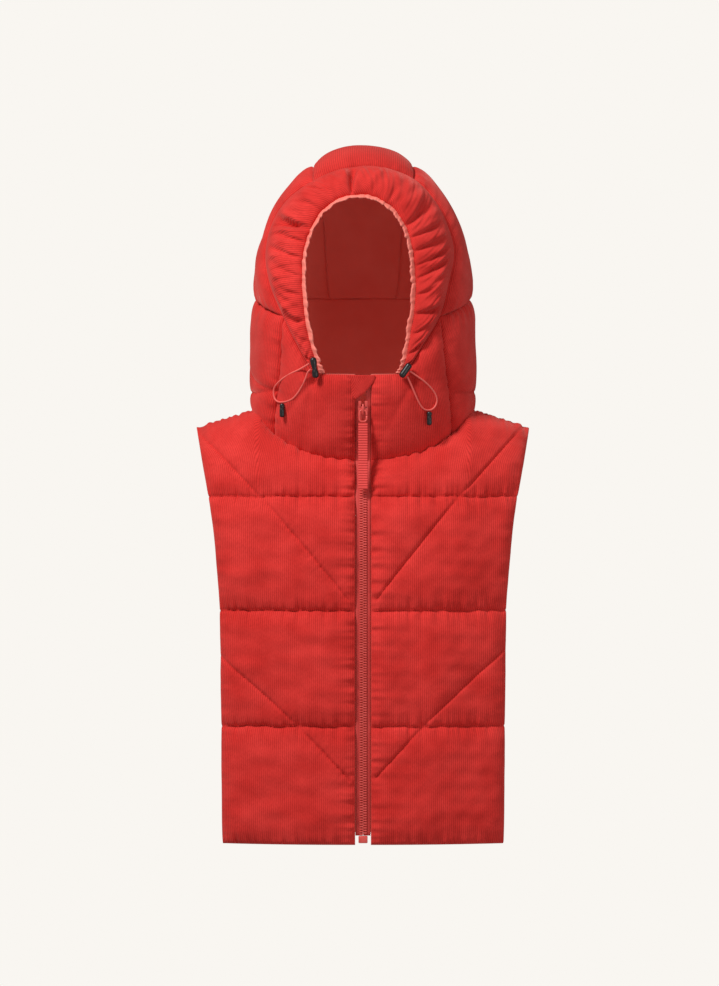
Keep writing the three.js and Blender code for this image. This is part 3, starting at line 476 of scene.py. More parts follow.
def plastic_material(name, low, high, roughness):
    material, nodes, links, shader = node_material(name, high, roughness)
    place = nodes.new("ShaderNodeTexCoord").outputs["Object"]
    tone = noise(nodes, links, place, 160.0, 2.0)
    links.new(ramp_between(nodes, links, tone, low, high, 0.35, 0.65), shader.inputs["Base Color"])
    bump = nodes.new("ShaderNodeBump")
    bump.inputs["Strength"].default_value = 0.08
    bump.inputs["Distance"].default_value = 0.0002
    links.new(noise(nodes, links, place, 900.0, 2.0), bump.inputs["Height"])
    links.new(bump.outputs["Normal"], shader.inputs["Normal"])
    return material


# the last number of each corduroy is how strongly painted shade darkens its wale grooves
CORDUROY = corduroy_material("corduroy", (0.70, 0.032, 0.026), (0.84, 0.050, 0.042), 0.75)
# a darker copy of the corduroy for the hood's crown panel: painted shade
CROWN_SHADED_CORDUROY = corduroy_material("corduroy_crown_painted_shade", (0.62, 0.030, 0.025), (0.74, 0.042, 0.035), 0.8)
LINING = woven_material("lining", (0.90, 0.20, 0.15), (0.96, 0.26, 0.20), 0.62, 1500.0)
TAPE = woven_material("zip_tape", (0.58, 0.040, 0.034), (0.66, 0.055, 0.046), 0.7, 2400.0, 0.4)
TEETH = plastic_material("zip_teeth", (0.72, 0.075, 0.062), (0.80, 0.10, 0.085), 0.38)
WEBBING = woven_material("webbing", (0.72, 0.040, 0.034), (0.82, 0.055, 0.048), 0.6, 2600.0, 0.35)
CORD = woven_material("cord", (0.82, 0.10, 0.085), (0.92, 0.15, 0.12), 0.55, 2600.0, 0.5)
BLACK = plastic_material("black_plastic", (0.008, 0.007, 0.007), (0.016, 0.014, 0.014), 0.3)

# ---------------------------------------------------------------- body panels

PUFF_OUT = 11.5
PUFF_IN = 5.0
EDGE_HALF = 1.6
BODY_MIDDLE = np.array([0.0, 0.0, -250.0])
ACROSS_NECK, ACROSS_SHOULDER = 84, 46
ROWS_PER_CHANNEL = 62
HEM_HALF = 179
# how steeply a panel falls forward from the neck and from the shoulder, blended by this x
NECK_FALL, SHOULDER_FALL, FALL_BLEND_X = 0.85, 0.5, 120
# how far in from each seam or edge a channel takes to fill out
TOP_REACH, LOW_REACH, ZIP_REACH, SIDE_REACH = 34, 44, 26, 24
# heights and wavelengths of the puckers beside the quilt seams, the zip and the side edges
SEAM_PUCKER, ZIP_PUCKER, SIDE_PUCKER = 3.0, 3.2, 1.0
SEAM_WAVE, ZIP_WAVE, SIDE_WAVE = 15, 17, 20
# the stitched diagonals: the thread's groove, and the valley it pulls the padding into
STITCH_DEPTH, STITCH_HALF, VALLEY_DEPTH, VALLEY_REACH = 2.8, 1.5, 3.4, 11
THINNEST = 0.9


def body_top(side, face):
    """The panel's top edge, from the middle out: neck seam, then shoulder seam."""
    start = neck_turn_at(ZIP_HALF) if face < 0 else math.pi
    turns = np.linspace(start, math.pi / 2, ACROSS_NECK + 1) * side
    neck = neck_point(turns)
    tip = SHOULDER_TIP * [side, 1, 1]
    shoulder = mix(neck[-1], tip, np.linspace(0, 1, ACROSS_SHOULDER + 1)[1:, None])
    return np.concatenate([neck, shoulder])


def seam_height(x, seam_z):
    """Quilt seams wander a little and scallop between their puckers."""
    seed = int(-seam_z)
    return seam_z + 0.9 * ripple(x, 60, seed) + 0.6 * ripple(x, 17, seed + 1)


def body_grid(side, face):
    top = body_top(side, face)
    columns = len(top)
    middle = ZIP_HALF / HEM_HALF if face < 0 else 0.0
    hem_share = side * np.linspace(middle, 1, columns)
    heights, starts = [top[:, 2]], top[:, 2]
    for seam_z in QUILT_Z:
        low = np.full(columns, seam_z)
        if seam_z > HEM_Z:
            low = seam_height(hem_share * 180 + (500 if face > 0 else 0), seam_z)
        for s in np.linspace(0, 1, ROWS_PER_CHANNEL + 1)[1:]:
            heights.append(mix(starts, low, s))
        starts = low
    z = np.array(heights)
    half = column_at(BODY_SECTIONS, z, HALF)
    top_half = column_at(BODY_SECTIONS, top[:, 2], HALF)
    down = np.minimum(1, (top[:, 2] - z) / (top[:, 2] - QUILT_Z[0]))
    share = mix(top[:, 0] / top_half, hem_share, smooth(down))
    x = share * half
    depth = column_at(BODY_SECTIONS, z, FRONT if face < 0 else BACK)
    full = face * depth * (1 - SIDE_CURVE * np.abs(share) ** SIDE_CURVE_POWER)
    t = np.minimum(1, (top[:, 2] - z) / SHOULDER_ROUND)
    power = mix(NECK_FALL, SHOULDER_FALL, smooth(np.abs(top[:, 0]) / FALL_BLEND_X))
    y = mix(top[:, 1], full, np.maximum(0, 1 - (1 - t) ** 2) ** power)
    if face < 0:
        x[:, 0] = side * ZIP_HALF
    return np.stack([x, y, z], -1)


# columns: start x and z, end x and z, bow: the stitched diagonals, on each side of the zip
DIAGONALS = {
    -1: np.array([[-215, -28, -19, -243, 3], [-182, -313, -17, -472, 2]], float),
    1: np.array([[206, -24, 17, -242, -3], [177, -307, 17, -468, -2]], float),
}


def distance_to_diagonal(x, z, line):
    start, end = line[0:2], line[2:4]
    run = end - start
    length = np.hypot(*run)
    along = ((x - start[0]) * run[0] + (z - start[1]) * run[1]) / length**2
    bow = line[4] * np.sin(math.pi * np.clip(along, 0, 1)) * 2
    across = ((x - start[0]) * run[1] - (z - start[1]) * run[0]) / length + bow
    past = np.maximum(0, np.abs(along - 0.5) - 0.5) * length
    return np.hypot(across, past), along * length


def body_relief(grid, side, face):
    """Heights of the outer and inner faces: pillows, puckers and stitched lines."""
    x, z = grid[..., 0], grid[..., 2]
    left, right, _, _ = distances(grid)
    row = np.arange(grid.shape[0])[:, None]
    s = (row % ROWS_PER_CHANNEL) / ROWS_PER_CHANNEL
    s = np.where(row == grid.shape[0] - 1, 1.0, s)
    s = np.broadcast_to(s, x.shape)
    channel = np.minimum(row // ROWS_PER_CHANNEL, 3)
    edges = np.concatenate([[grid[0, :, 2]], [grid[(k + 1) * ROWS_PER_CHANNEL, :, 2] for k in range(4)]])
    tall = edges[:-1] - edges[1:]
    to_top = s * tall[channel[:, 0]]
    to_low = (1 - s) * tall[channel[:, 0]]
    nearest = np.minimum(to_top, to_low)
    seed = 40 + 7 * side + (100 if face > 0 else 0)
    filled = rise(to_top, TOP_REACH) * rise(to_low, LOW_REACH)
    share = filled * rise(left + 1.0, ZIP_REACH) * rise(right + 1.0, SIDE_REACH)
    out = EDGE_HALF + PUFF_OUT * share
    at_seam = np.exp(-nearest / 9) * rise(nearest, 4)
    out += (
        SEAM_PUCKER * at_seam * ripple(x, SEAM_WAVE, seed)
        + 1.0 * np.exp(-nearest / 22) * rise(nearest, 8) * ripple(x, 34, seed + 3)
    )
    zip_side = left if face < 0 else np.full_like(left, 400.0)
    out += ZIP_PUCKER * np.exp(-zip_side / 11) * rise(zip_side, 5) * ripple(z, ZIP_WAVE, seed + 5)
    out += SIDE_PUCKER * np.exp(-right / 12) * rise(right, 5) * ripple(z, SIDE_WAVE, seed + 6)
    out += 1.8 * share * lumps(x, z, 75, seed + 8) + 0.8 * share * lumps(x, z, 26, seed + 9)
    lines = DIAGONALS[side] if face < 0 else [line for end in (-1, 1) for line in DIAGONALS[end]]
    for line in lines:
        across, along = distance_to_diagonal(x, z, line)
        thread = STITCH_DEPTH * np.exp(-((across / STITCH_HALF) ** 2))
        out -= share * (thread + VALLEY_DEPTH * np.exp(-across / VALLEY_REACH))
        out += 0.5 * share * np.exp(-across / 7) * ripple(along, 11, seed + 11)
    inner = -EDGE_HALF - PUFF_IN * share
    return np.maximum(out, THINNEST), inner


def body_panel(name, grid, outer, inner):
    normal = slope_normals(grid, BODY_MIDDLE)
    piece = sheet_object(name, grid, normal, outer, inner, [CORDUROY, LINING])
    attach(piece, "garment")
    return piece


def make_body():
    for side, word in ((-1, "right"), (1, "left")):
        grid = body_grid(side, -1)
        outer, inner = body_relief(grid, side, -1)
        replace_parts(body_panel(f"front_{word}_panel", grid, outer, inner), f"front_{word}")
    halves = [body_grid(side, 1) for side in (-1, 1)]
    grid = np.concatenate([halves[0][:, :0:-2], halves[1][:, ::2]], axis=1)
    # both halves meet in the middle, so the back's relief has no zip edge
    outer, inner = body_relief(grid, 1, 1)
    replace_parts(body_panel("back_panel", grid, outer, inner), "back")


# ---------------------------------------------------------------- hood panels


def collar_edges(side, columns, rows):
    end = brim_seam(brim_row(side, 0))
    t = np.linspace(0, 1, 40)
    top = hood_front(mix(side * ZIP_HALF, end[0], t), mix(COLLAR_TOP_Z, end[2], t))
    top = even(np.concatenate([top, brim_run(side, 0, RIDGE_ROW, 40)[1:]]), columns)
    turns = np.linspace(neck_turn_at(side * ZIP_HALF), neck_turn_at(side * SIDE_SEAM_X), columns + 1)
    bottom = neck_point(turns)
    at_zip = hood_front(side * ZIP_HALF, np.linspace(bottom[0][2], COLLAR_TOP_Z, rows + 1))
    return bottom, top, at_zip, collar_side_seam(side, rows)


def base_edges(columns, rows):
    right, left = ridge_seam(-1, 80), ridge_seam(1, 80)[::-1]
    back = hood_run([right[-1], left[0]], 40)
    top = even(np.concatenate([right, back[1:], left[1:]]), columns)
    first = neck_turn_at(-SIDE_SEAM_X)
    bottom = neck_point(np.linspace(first, -2 * math.pi - first, columns + 1))
    return bottom, top, collar_side_seam(-1, rows), collar_side_seam(1, rows)


def crown_edges(columns, rows):
    front = brim_seam(np.linspace(CROWN_ROW, LAST_ROW - CROWN_ROW, columns + 1))
    right, left = crown_seam(-1, rows), crown_seam(1, rows)
    return front, hood_run([right[-1], left[-1]], columns), right, left


def side_edges(side, columns, rows):
    crown = crown_seam(side, 180)
    top = even(crown[:81], columns)
    down = even(crown[80:][::-1], rows)
    front = brim_run(side, RIDGE_ROW, CROWN_ROW, rows)
    return ridge_seam(side, columns), top, front, down


def hood_piece(name, node, edges, materials, relief):
    grid = hood_patch(*edges)
    normal = hood_normal(grid)
    outer, inner = relief(grid)
    piece = sheet_object(name, grid, normal, outer, inner, materials)
    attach(piece, "garment")
    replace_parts(piece, node)
    return piece


def pillow(grid, seed, puff=9.5, pucker=1.3, lump=0.9):
    left, right, bottom, top = distances(grid)
    share = rise(left, 28) * rise(right, 28) * rise(bottom, 28) * rise(top, 28)
    out = EDGE_HALF + puff * share + lump * share * lumps(left, bottom, 60, seed)
    for edge, along in ((left, bottom), (right, bottom), (bottom, left), (top, left)):
        out += pucker * np.exp(-edge / 10) * rise(edge, 5) * ripple(along, 18, seed + 1)
    return out, -EDGE_HALF - 4 * share


def groove(out, across, depth=3.0):
    """Sinks a quilt line into a face, with the puckers beside it."""
    return out - depth * np.exp(-np.abs(across) / 7) - 1.6 * np.exp(-((across / 1.6) ** 2))


def collar_relief(side):
    def relief(grid):
        out, inner = pillow(grid, 300 + side, 9.5, 1.6, 1.3)
        x, z = np.abs(grid[..., 0]), grid[..., 2]
        # soft folds that fan out from under the cord lock
        for slope, reach, depth in ((0.15, 34, 2.6), (0.75, 40, 2.2), (-0.55, 30, 2.0)):
            across = (x - 62) - slope * (38 - z)
            fade = np.exp(-np.maximum(0, 38 - z) / reach) * smooth((52 - z) / 16)
            fold, crest = np.exp(-((across / 4.5) ** 2)), np.exp(-((across - 9) / 6) ** 2)
            out = out - depth * fade * fold + 0.8 * fade * crest
        return np.maximum(out, THINNEST), inner
    return relief


def base_relief(grid):
    out, inner = pillow(grid, 320, 10.0, 1.4, 1.1)
    _, _, bottom, top = distances(grid)
    z = grid[..., 2]
    level = 25 + 2.0 * ripple(grid[..., 0] + grid[..., 1], 80, 33)
    out = groove(out, z - level)
    slant = np.where(grid[..., 1] < 60, z - level - (grid[..., 1] + 80) * 0.42, 99)
    out = np.where(grid[..., 0] < 0, groove(out, slant, 1.6), out)
    # the hood's weight gathers it just under the ridge seam
    out += 2.0 * np.exp(-top / 12) * rise(top, 6) * ripple(grid[..., 1] * 1.2 + grid[..., 0], 24, 35)
    return np.maximum(out, THINNEST), inner


def side_relief(side):
    def relief(grid):
        out, inner = pillow(grid, 340 + side, 8.5, 1.2, 1.0)
        left, _, bottom, _ = distances(grid)
        out += 3.0 * np.exp(-bottom / 14) * rise(bottom, 7) * (0.7 + ripple(left, 26, 350 + side))
        return np.maximum(out, THINNEST), inner
    return relief


def crown_relief(grid):
    return pillow(grid, 360, 9.0, 0.9, 0.8)


# ---------------------------------------------------------------- the gathered brim

BRIM_COLUMNS, BRIM_ROWS = 620, 52

# columns: row of BRIM where the gather lies, its width in rows, its depth in millimetres,
# how far across the band it reaches from the free edge
GATHERS = np.array([
    [0.7, 0.16, 4.0, 0.9],
    [1.5, 0.12, 3.0, 0.6],
    [2.1, 0.15, 6.5, 1.0],
    [2.9, 0.12, 4.0, 0.7],
    [3.5, 0.10, 3.0, 0.5],
    [4.1, 0.12, 4.5, 0.8],
    [4.75, 0.14, 5.5, 0.7],
    [5.35, 0.20, 9.5, 0.85],
    [6.3, 0.14, 3.0, 0.5],
    [7.1, 0.16, 3.0, 0.6],
    [8.0, 0.13, 11.0, 1.0],
    [8.9, 0.14, 2.5, 0.4],
    [9.7, 0.16, 3.5, 0.6],
    [11.0, 0.22, 9.5, 0.8],
    [11.6, 0.12, 4.5, 0.9],
    [12.2, 0.13, 5.0, 0.7],
    [12.8, 0.11, 4.0, 1.0],
    [13.3, 0.14, 6.0, 0.8],
    [13.9, 0.11, 4.5, 0.6],
    [14.5, 0.13, 6.5, 1.0],
    [15.1, 0.11, 4.0, 0.7],
    [15.8, 0.14, 5.0, 0.9],
    [16.5, 0.12, 3.5, 0.7],
])


def gathers(row, across):
    """How far the brim is drawn in: 0 between the gathers and more in each fold."""
    total = np.zeros(np.broadcast(row, across).shape)
    for k, (middle, width, depth, reach) in enumerate(GATHERS):
        drift = 0.22 * math.sin(5 * k + 1) * (1 - across)
        fold = np.exp(-(((row - middle - drift) / (width * (0.55 + 0.8 * (1 - across)))) ** 2))
        total = total + depth * fold * smooth((across - (1 - reach)) / 0.55)
    return total


def make_brim():
    rows = np.linspace(0, LAST_ROW, BRIM_COLUMNS + 1)
    seam, edge = brim_seam(rows), brim_edge(rows)
    free = edge + unit(seam - edge) * (FACING_SHOW + 1.2 * ripple(rows * 30, 34, 90))[:, None]
    v = np.linspace(0, 1, BRIM_ROWS + 1)[:, None]
    flat = mix(seam[None], free[None], v[..., None])
    normal = slope_normals(flat, HOOD_CENTRE)
    blend = smooth(v / 0.15)[..., None]
    normal = unit(mix(hood_normal(flat), normal, blend))
    left, right, _, _ = distances(flat)
    width = np.linalg.norm(seam - free, axis=-1)[None]
    arch = np.sin(math.pi * np.clip(v, 0, 1)) ** 0.62
    room = np.minimum(1, width / 55) * rise(left + 8, 20) * rise(right + 8, 20)
    fold = gathers(rows[None], v)
    wrinkle = 2.6 * ripple(rows * 31 + v * 14, 26, 91) + 1.5 * ripple(rows * 31 - v * 20, 13, 92)
    wrinkle = wrinkle * smooth(v * 1.6) * arch
    out = EDGE_HALF + 16.5 * arch * room + wrinkle - 1.25 * fold * (0.25 + 0.75 * arch)
    piece = sheet_object(
        "brim_band", flat, normal, np.maximum(out, 0.6), -EDGE_HALF - 2 * arch * room, [CORDUROY, LINING]
    )
    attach(piece, "garment")
    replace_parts(piece, "hood_brim")


def lining_depth(row):
    return mix(3.2, 14, smooth(np.minimum(row, LAST_ROW - row) / 3))


def make_facing():
    rows = np.linspace(0, LAST_ROW, 480)
    seam, edge = brim_seam(rows), brim_edge(rows)
    to_seam = unit(seam - edge)
    inward = -hood_normal(seam)
    uneven = 1.6 * ripple(rows * 30, 26, 95) + 1.0 * ripple(rows * 30, 11, 96)
    edge = edge + to_seam * uneven[:, None]
    free = edge + to_seam * FACING_SHOW
    lining_edge = seam + inward * (lining_depth(rows) + 0.4)[:, None] - to_seam * 1.0
    rolled = edge + [0, 5, 0]
    keys = np.stack([
        free + inward * 3.2 + to_seam * 6, free + inward * 1.6, edge + inward * 1.0,
        rolled, mix(rolled, lining_edge, 0.5), lining_edge,
    ])
    t = np.linspace(0, 1, 26)
    grid = np.stack([spline(keys[:, i], t) for i in range(len(rows))], axis=1)
    normal = slope_normals(grid)
    folds = 0.8 * ripple(rows * 30, 9, 97)[None] * np.sin(math.pi * t)[:, None]
    piece = sheet_object("face_opening_facing", grid, normal, folds + 0.6, folds - 0.6, [LINING])
    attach(piece, "garment")
    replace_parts(piece, "hood_facing")


def lining_sheet(name, edges, depth):
    grid = hood_patch(*edges)
    normal = hood_normal(grid)
    left, right, bottom, top = distances(grid)
    deep = depth(left, right, bottom, top)
    soft = 1.0 * lumps(left, bottom, 90, 81)
    piece = sheet_object(name, grid, normal, -deep + soft, -deep - 1.2 + soft, [LINING])
    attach(piece, "garment")
    return piece


def make_lining():
    def plain(left, right, bottom, top):
        return np.full_like(left, 14.0)

    def from_brim(left, right, bottom, top):
        return mix(12.0, 14.0, smooth(left / 50))

    def above_neck(left, right, bottom, top):
        return mix(5.0, 14.0, smooth(bottom / 40))

    def collar(left, right, bottom, top):
        return np.maximum(mix(5, mix(3.2, 14, smooth(top / 60)), smooth(bottom / 40)),
                          2.8 + 4.2 * rise(top, 28) * rise(bottom, 28) * rise(left, 28) * rise(right, 28))

    pieces = [lining_sheet("lining_crown", crown_edges(30, 90), plain)]
    pieces.append(lining_sheet("lining_base", base_edges(120, 40), above_neck))
    for side, word in ((-1, "right"), (1, "left")):
        pieces.append(lining_sheet(f"lining_side_{word}", side_edges(side, 40, 40), from_brim))
        pieces.append(lining_sheet(f"lining_collar_{word}", collar_edges(side, 40, 40), collar))
    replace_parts(pieces[0], "hood_lining")


def make_hood():
    padded = [CORDUROY, LINING]
    for side, word in ((-1, "right"), (1, "left")):
        collar, flank = collar_edges(side, 90, 90), side_edges(side, 90, 90)
        hood_piece(f"collar_{word}_panel", f"collar_{word}", collar, padded, collar_relief(side))
        hood_piece(f"hood_side_{word}_panel", f"hood_side_{word}", flank, padded, side_relief(side))
    hood_piece("hood_base_panel", "hood_base", base_edges(300, 80), padded, base_relief)
    # the crown panel wears the darker corduroy copy, painted shade
    hood_piece("hood_crown_panel", "hood_crown", crown_edges(70, 150), [CROWN_SHADED_CORDUROY, LINING], crown_relief)
    make_brim()
    make_facing()
    make_lining()

# ---------------------------------------------------------------- small parts


def object_from(name, parts, material, body="garment", smooth_shade=True, bevel=0.0):
    """One object from several (vertices in millimetres, faces) parts."""
    vertices, faces, start = [], [], 0
    for points, polygons in parts:
        vertices.append(np.asarray(points, float) * MM)
        faces += [tuple(int(i) + start for i in polygon) for polygon in polygons]
        start += len(points)
    mesh = bpy.data.meshes.new(name)
    mesh.from_pydata(np.concatenate(vertices).tolist(), [], faces)
    mesh.materials.append(material)
    for polygon in mesh.polygons:
        polygon.use_smooth = smooth_shade
    mesh.update()
    thing = bpy.data.objects.new(name, mesh)
    bpy.context.scene.collection.objects.link(thing)
    if bevel:
        rounded = thing.modifiers.new("round", "BEVEL")
        rounded.width, rounded.segments, rounded.limit_method = bevel * MM, 2, "ANGLE"
    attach(thing, body)
    return thing


def box_part(size, place, turned=None):
    """A block, size in millimetres, turned into a frame of three unit columns."""
    corners = np.array([[x, y, z] for z in (-1, 1) for y in (-1, 1) for x in (-1, 1)]) * np.array(size) / 2
    turned = np.eye(3) if turned is None else turned
    faces = [(0, 2, 3, 1), (4, 5, 7, 6), (0, 1, 5, 4), (2, 6, 7, 3), (0, 4, 6, 2), (1, 3, 7, 5)]
    return corners @ turned.T + place, faces


def tube_part(path, radii, sides=16):
    """A round bar along a path, with capped ends."""
    path = np.asarray(path, float)
    run = unit(np.gradient(path, axis=0))
    start = np.array([1.0, 0, 0]) if abs(run[0][0]) < 0.9 else np.array([0, 1.0, 0])
    rings, across = [], unit(start - run[0] * (start @ run[0]))
    for point, way, radius in zip(path, run, np.broadcast_to(radii, len(path))):
        across = unit(across - way * (across @ way))
        other = np.cross(way, across)
        turn = np.linspace(0, 2 * math.pi, sides, endpoint=False)
        rings.append(point + radius * (np.cos(turn)[:, None] * across + np.sin(turn)[:, None] * other))
    n = len(path)
    faces = [
        (r * sides + s, r * sides + (s + 1) % sides, (r + 1) * sides + (s + 1) % sides, (r + 1) * sides + s)
        for r in range(n - 1) for s in range(sides)
    ]
    faces += [tuple(range(sides))[::-1], tuple((n - 1) * sides + s for s in range(sides))]
    return np.concatenate(rings), faces


def zip_middle(z):
    z = np.atleast_1d(np.asarray(z, float))
    low = neck_point(np.array([0.0]))[0]
    t = np.minimum(1, (low[2] - z) / SHOULDER_ROUND)
    full = -column_at(BODY_SECTIONS, z, FRONT)
    below = mix(low[1], full, np.maximum(0, 1 - (1 - t) ** 2) ** NECK_FALL)
    above = hood_front(np.zeros_like(z), np.maximum(z, -NECK_DROP_FRONT))[..., 1]
    return np.stack([np.zeros_like(z), np.where(z > -NECK_DROP_FRONT, above, below), z], -1)


def make_zip():
    levels = np.linspace(-543, 38, 200)
    line = zip_middle(levels)
    run = unit(np.gradient(line, axis=0))
    ahead = unit(np.cross(run, [1.0, 0, 0]))
    ahead = np.where(ahead[:, 1:2] > 0, -ahead, ahead)
    for side, word in ((-1, "right"), (1, "left")):
        inner = np.where(levels > -20, 3.6, 0.4)
        across = np.stack([mix(inner, 9.7, t) for t in np.linspace(0, 1, 7)])
        grid = line[None] + across[..., None] * [side, 0, 0]
        normal = np.broadcast_to(ahead[None], grid.shape)
        rib = 0.15 * np.cos(across * 3.0)
        back = np.full_like(rib, -0.6)
        tape = sheet_object(f"zip_tape_{word}_woven", grid, normal, 0.6 + rib, back, [TAPE])
        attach(tape, "garment")
        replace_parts(tape, f"zip_tape_{word}")
        # moulded teeth: each a foot on the tape and a head that locks between its neighbours
        parts = []
        pitch = 3.2
        places = np.arange(-541, -20, pitch) + (pitch / 2 if side > 0 else 0)
        where = zip_middle(places)
        up = unit(np.gradient(where, axis=0))
        for middle, rising in zip(where, up):
            front = np.cross(rising, [1.0, 0, 0])
            front = front if front[1] < 0 else -front
            turned = np.stack([[1.0, 0, 0], front, rising], axis=1)
            parts.append(box_part((3.6, 2.2, 1.7), middle + front * 2.0 + [side * 2.7, 0, 0], turned))
            parts.append(box_part((2.0, 2.5, 1.25), middle + front * 2.1 + [side * 0.4, 0, 0], turned))
        teeth = object_from(f"zip_teeth_{word}", parts, TEETH, smooth_shade=False)
        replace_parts(teeth, f"zip_chain_{word}")
    box = zip_middle(-548)[0]
    stop = object_from("zip_bottom_box", [box_part((11.6, 6.2, 9.2), box + [0, -1.2, 0])], TEETH,
                       bevel=1.0)
    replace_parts(stop, "zip_box")


def make_slider():
    low, high = zip_middle(-20)[0], zip_middle(20)[0]
    rising = unit(high - low)
    front = np.cross(rising, [1.0, 0, 0])
    front = front if front[1] < 0 else -front
    turned = np.stack([[1.0, 0, 0], front, rising], axis=1)
    middle = (low + high) / 2

    def at(x, ahead, up):
        return middle + turned @ np.array([x, ahead, up], float)

    parts = [box_part((12.2, 2.2, 18), at(0, 5.2, -3), turned)]
    parts += [box_part((3.6, 2.2, 9), at(side * 4.0, 5.2, 8.5), turned) for side in (-1, 1)]
    turns = np.linspace(0.15, math.pi - 0.15, 12)
    arch = [at(0, 6.2 + 3.6 * math.sin(t), 2 - 7.2 * math.cos(t)) for t in turns]
    parts.append(tube_part(arch, 1.2, 10))
    slider = object_from("slider_body", parts, TEETH, bevel=0.5)
    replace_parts(slider, "zip_slider")


def rounded(share):
    """Squares up a circle's sine or cosine, so that a ring has rounded corners."""
    return math.copysign(abs(share) ** 0.6, share)


def make_pull():
    loop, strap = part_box("zip_pull_loop"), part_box("zip_pull_webbing")
    low, high = (np.array(loop[0]) / MM, np.array(loop[1]) / MM)
    mid_y = (low[1] + high[1]) / 2
    half, top, foot = (high[0] - low[0]) / 2, high[2], low[2]
    ring = []
    for turn in np.linspace(0, 2 * math.pi, 40, endpoint=False):
        ring.append([
            rounded(math.cos(turn)) * (half - 1.3), mid_y,
            (top + foot) / 2 + rounded(math.sin(turn)) * ((top - foot) / 2 - 1.3),
        ])
    ring.append(ring[0])
    wire = [tube_part(ring, 1.25, 12)]
    bail = object_from("pull_loop_bail", wire, TEETH, body="zip_pull")
    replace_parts(bail, "zip_pull_loop")
    low, high = (np.array(strap[0]) / MM, np.array(strap[1]) / MM)
    z = np.linspace(high[2], low[2], 240)
    x = np.linspace(low[0], high[0], 13)
    grid = np.stack(np.broadcast_arrays(x[None], (low[1] + high[1]) / 2, z[:, None]), -1)
    ribs = 0.35 * np.cos(2 * math.pi * z / 3.2)[:, None] * np.ones_like(x)[None]
    normal = np.broadcast_to([0.0, -1.0, 0.0], grid.shape)
    webbing = sheet_object("pull_webbing_ribbed", grid, normal, 1.1 + ribs, -1.1 - ribs, [WEBBING])
    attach(webbing, "zip_pull")
    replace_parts(webbing, "zip_pull_webbing")


GARAGE_EDGE = np.array([[-21, 39], [-12, 16], [-5, 17.5], [4, 25], [10, 32], [15, 40]], float)


def make_garage():
    t = np.linspace(0, 1, 40)
    lower = spline(GARAGE_EDGE, t)
    upper = np.stack([mix(-20.5, 15.0, t), np.full(40, 45.0)], -1)
    v = np.linspace(0, 1, 26)[:, None, None]
    plan = mix(lower[None], upper[None], v)
    grid = hood_front(plan[..., 0], plan[..., 1])
    left, right, bottom, top = distances(grid)
    edge = np.minimum(np.minimum(left, right), bottom)
    swell = 1.1 * rise(edge, 5) + 0.7 * ripple(plan[..., 0] * 2 + plan[..., 1], 22, 71) * rise(edge, 6)
    out = 5.3 + swell
    flap = sheet_object("chin_flap", grid, hood_normal(grid), out, np.full_like(out, 4.4), [CORDUROY])
    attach(flap, "garment")
    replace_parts(flap, "zip_garage")


# ---------------------------------------------------------------- cords, locks and end clips

CORD_RADIUS = 1.1
CORD_PATHS = {
    "right": [
        (-68.4, -124.9, 59.1), (-80.5, -118.4, 52.1), (-95.4, -107.7, 45.3), (-106.9, -96.2, 37.1),
        (-113.4, -87.8, 29.7), (-114.7, -85.3, 22.3), (-113, -86.4, 14.8), (-108.9, -90.5, 11.1),
        (-103.6, -95.6, 10.4), (-97.4, -100.9, 11.4), (-90, -106.6, 14.8), (-83.2, -111.9, 22.3),
        (-77.2, -116.8, 32.4), (-73.1, -120.3, 41.2), (-70.4, -122.8, 48), (-66.3, -125, 52),
    ],
    "left": [
        (59.6, -127.1, 49.3), (68.5, -122.7, 43.3), (78, -117.2, 36.5), (86, -111.4, 29.1),
        (92.2, -106.2, 20.9), (94.5, -103.4, 13.4), (93.2, -103.2, 6.7), (89.5, -104.9, 1.9),
        (84.7, -107.3, -0.1), (79.2, -110.3, 0.5), (74.5, -113.2, 4.6), (69.8, -116.7, 12.8),
        (65, -120.5, 23.6), (60.9, -123.6, 33), (56.2, -126.9, 42.6),
    ],
}
# each lock's top and foot, and its radius at even steps from one to the other
LOCKS = {
    "right": [(-64.1, -129, 67.2), (-59.9, -126.8, 40.3)],
    "left": [(60.2, -127.9, 58.9), (48, -128.9, 41.6)],
}
LOCK_RADII = {
    "right": [3.2, 4.3, 4.3, 3.6, 3.0, 4.3, 4.3, 4.0],
    "left": [3.4, 4.3, 4.3, 4.3, 4.3, 4.3, 4.3, 3.6],
}


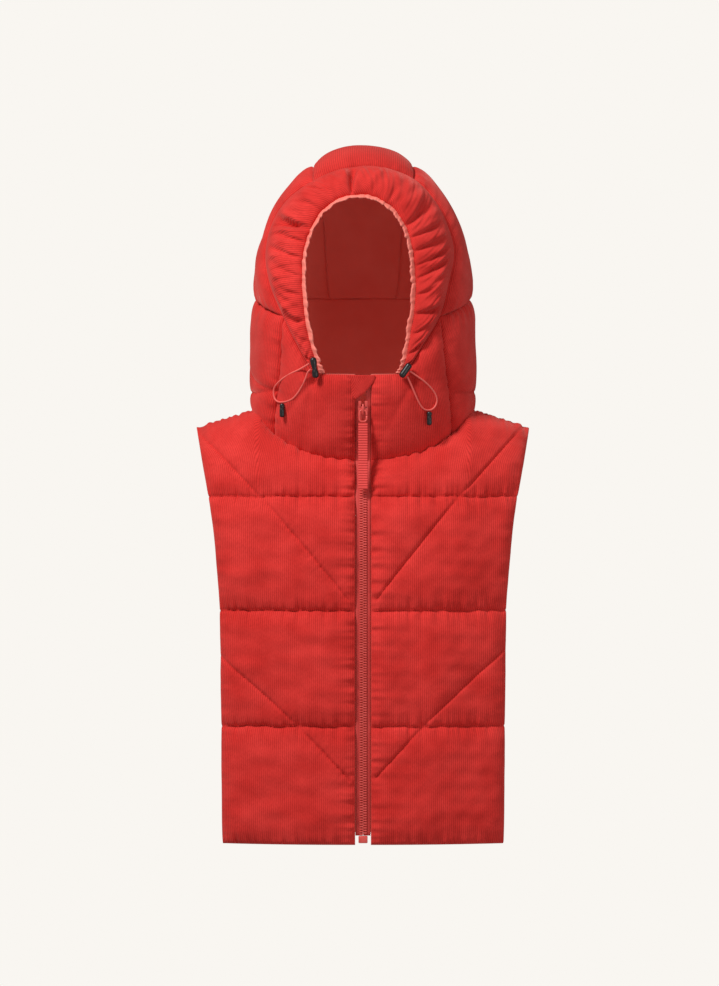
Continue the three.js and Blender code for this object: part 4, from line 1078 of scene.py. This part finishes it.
def make_cords():
    for word in ("right", "left"):
        points = spline(np.array(CORD_PATHS[word]), np.linspace(0, 1, 90))
        curve = bpy.data.curves.new(f"cord_{word}_line", "CURVE")
        curve.dimensions = "3D"
        curve.bevel_depth = CORD_RADIUS * MM
        curve.bevel_resolution = 3
        line = curve.splines.new("POLY")
        line.points.add(len(points) - 1)
        for made, point in zip(line.points, points):
            made.co = (*(point * MM), 1)
        curve.materials.append(CORD)
        cord = bpy.data.objects.new(f"drawcord_{word}", curve)
        bpy.context.scene.collection.objects.link(cord)
        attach(cord, "garment")
        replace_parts(cord, f"cord_{word}")
        top, foot = (np.array(p, float) for p in LOCKS[word])
        t = np.linspace(0, 1, 24)
        radii = np.interp(t, np.linspace(0, 1, 8), LOCK_RADII[word])
        radii = radii * np.clip(np.sqrt(np.maximum(0.02, 1 - (np.abs(2 * t - 1)) ** 14)), 0.15, 1)
        lock = object_from(f"cord_lock_{word}_casing", [tube_part(mix(top, foot, t[:, None]), radii, 20)],
                           BLACK)
        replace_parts(lock, f"cord_lock_{word}")
        low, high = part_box(f"cord_end_{word}")
        middle = (np.array(low) + np.array(high)) / 2 / MM
        half = (high[2] - low[2]) / 2 / MM
        stalk = np.array([middle + [0, 0, half * (1 - 2 * s)] for s in t])
        shape = 3.3 * np.clip(np.sqrt(np.maximum(0.02, 1 - np.abs(2 * t - 1) ** 10)), 0.2, 1)
        shape = shape - 0.5 * np.exp(-(((t - 0.35) / 0.06) ** 2))
        bar = [tube_part(stalk, shape, 20)]
        clip = object_from(f"cord_end_{word}_clip", bar, BLACK)
        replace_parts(clip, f"cord_end_{word}")


# ---------------------------------------------------------------- set: camera, lights, backdrop


def pale_world():
    world = bpy.data.worlds.new("pale_room")
    bpy.context.scene.world = world
    world.use_nodes = True
    nodes, links = world.node_tree.nodes, world.node_tree.links
    seen, ambient = nodes["Background"], nodes.new("ShaderNodeBackground")
    seen.inputs["Color"].default_value = (0.947, 0.921, 0.880, 1)
    seen.inputs["Strength"].default_value = 1.0
    ambient.inputs["Color"].default_value = (1.0, 0.98, 0.96, 1)
    ambient.inputs["Strength"].default_value = 0.34
    pick, path = nodes.new("ShaderNodeMixShader"), nodes.new("ShaderNodeLightPath")
    links.new(path.outputs["Is Camera Ray"], pick.inputs["Fac"])
    links.new(ambient.outputs["Background"], pick.inputs[1])
    links.new(seen.outputs["Background"], pick.inputs[2])
    links.new(pick.outputs["Shader"], nodes["World Output"].inputs["Surface"])


CAMERA_PLACE = (-0.0045, -6.0, -0.106)
CAMERA_LENS, CAMERA_SENSOR = 112.2, 24
AIM = (0, 0, -0.1)


def area_light(name, place, target, size, power, colour=(1, 1, 1)):
    light = bpy.data.lights.new(name, "AREA")
    light.size, light.energy, light.color = size, power, colour
    lamp = bpy.data.objects.new(name, light)
    lamp.location = place
    lamp.rotation_euler = (Vector(target) - Vector(place)).to_track_quat("-Z", "Y").to_euler()
    bpy.context.scene.collection.objects.link(lamp)


def add_camera():
    camera = bpy.data.cameras.new("camera")
    camera.sensor_fit, camera.sensor_height = "VERTICAL", CAMERA_SENSOR
    camera.lens = CAMERA_LENS
    thing = bpy.data.objects.new("camera", camera)
    thing.location = CAMERA_PLACE
    thing.rotation_euler = (math.pi / 2, 0, 0)
    bpy.context.scene.collection.objects.link(thing)
    bpy.context.scene.camera = thing


def build():
    make_body()
    make_hood()
    make_zip()
    make_slider()
    make_pull()
    make_garage()
    make_cords()
    bpy.context.scene.view_settings.view_transform = "Standard"
    pale_world()
    area_light("key", (-1.5, -1.9, 2.3), AIM, 0.7, 92)
    area_light("fill", (2.0, -2.6, -0.3), AIM, 1.6, 15)
    add_camera()


build()
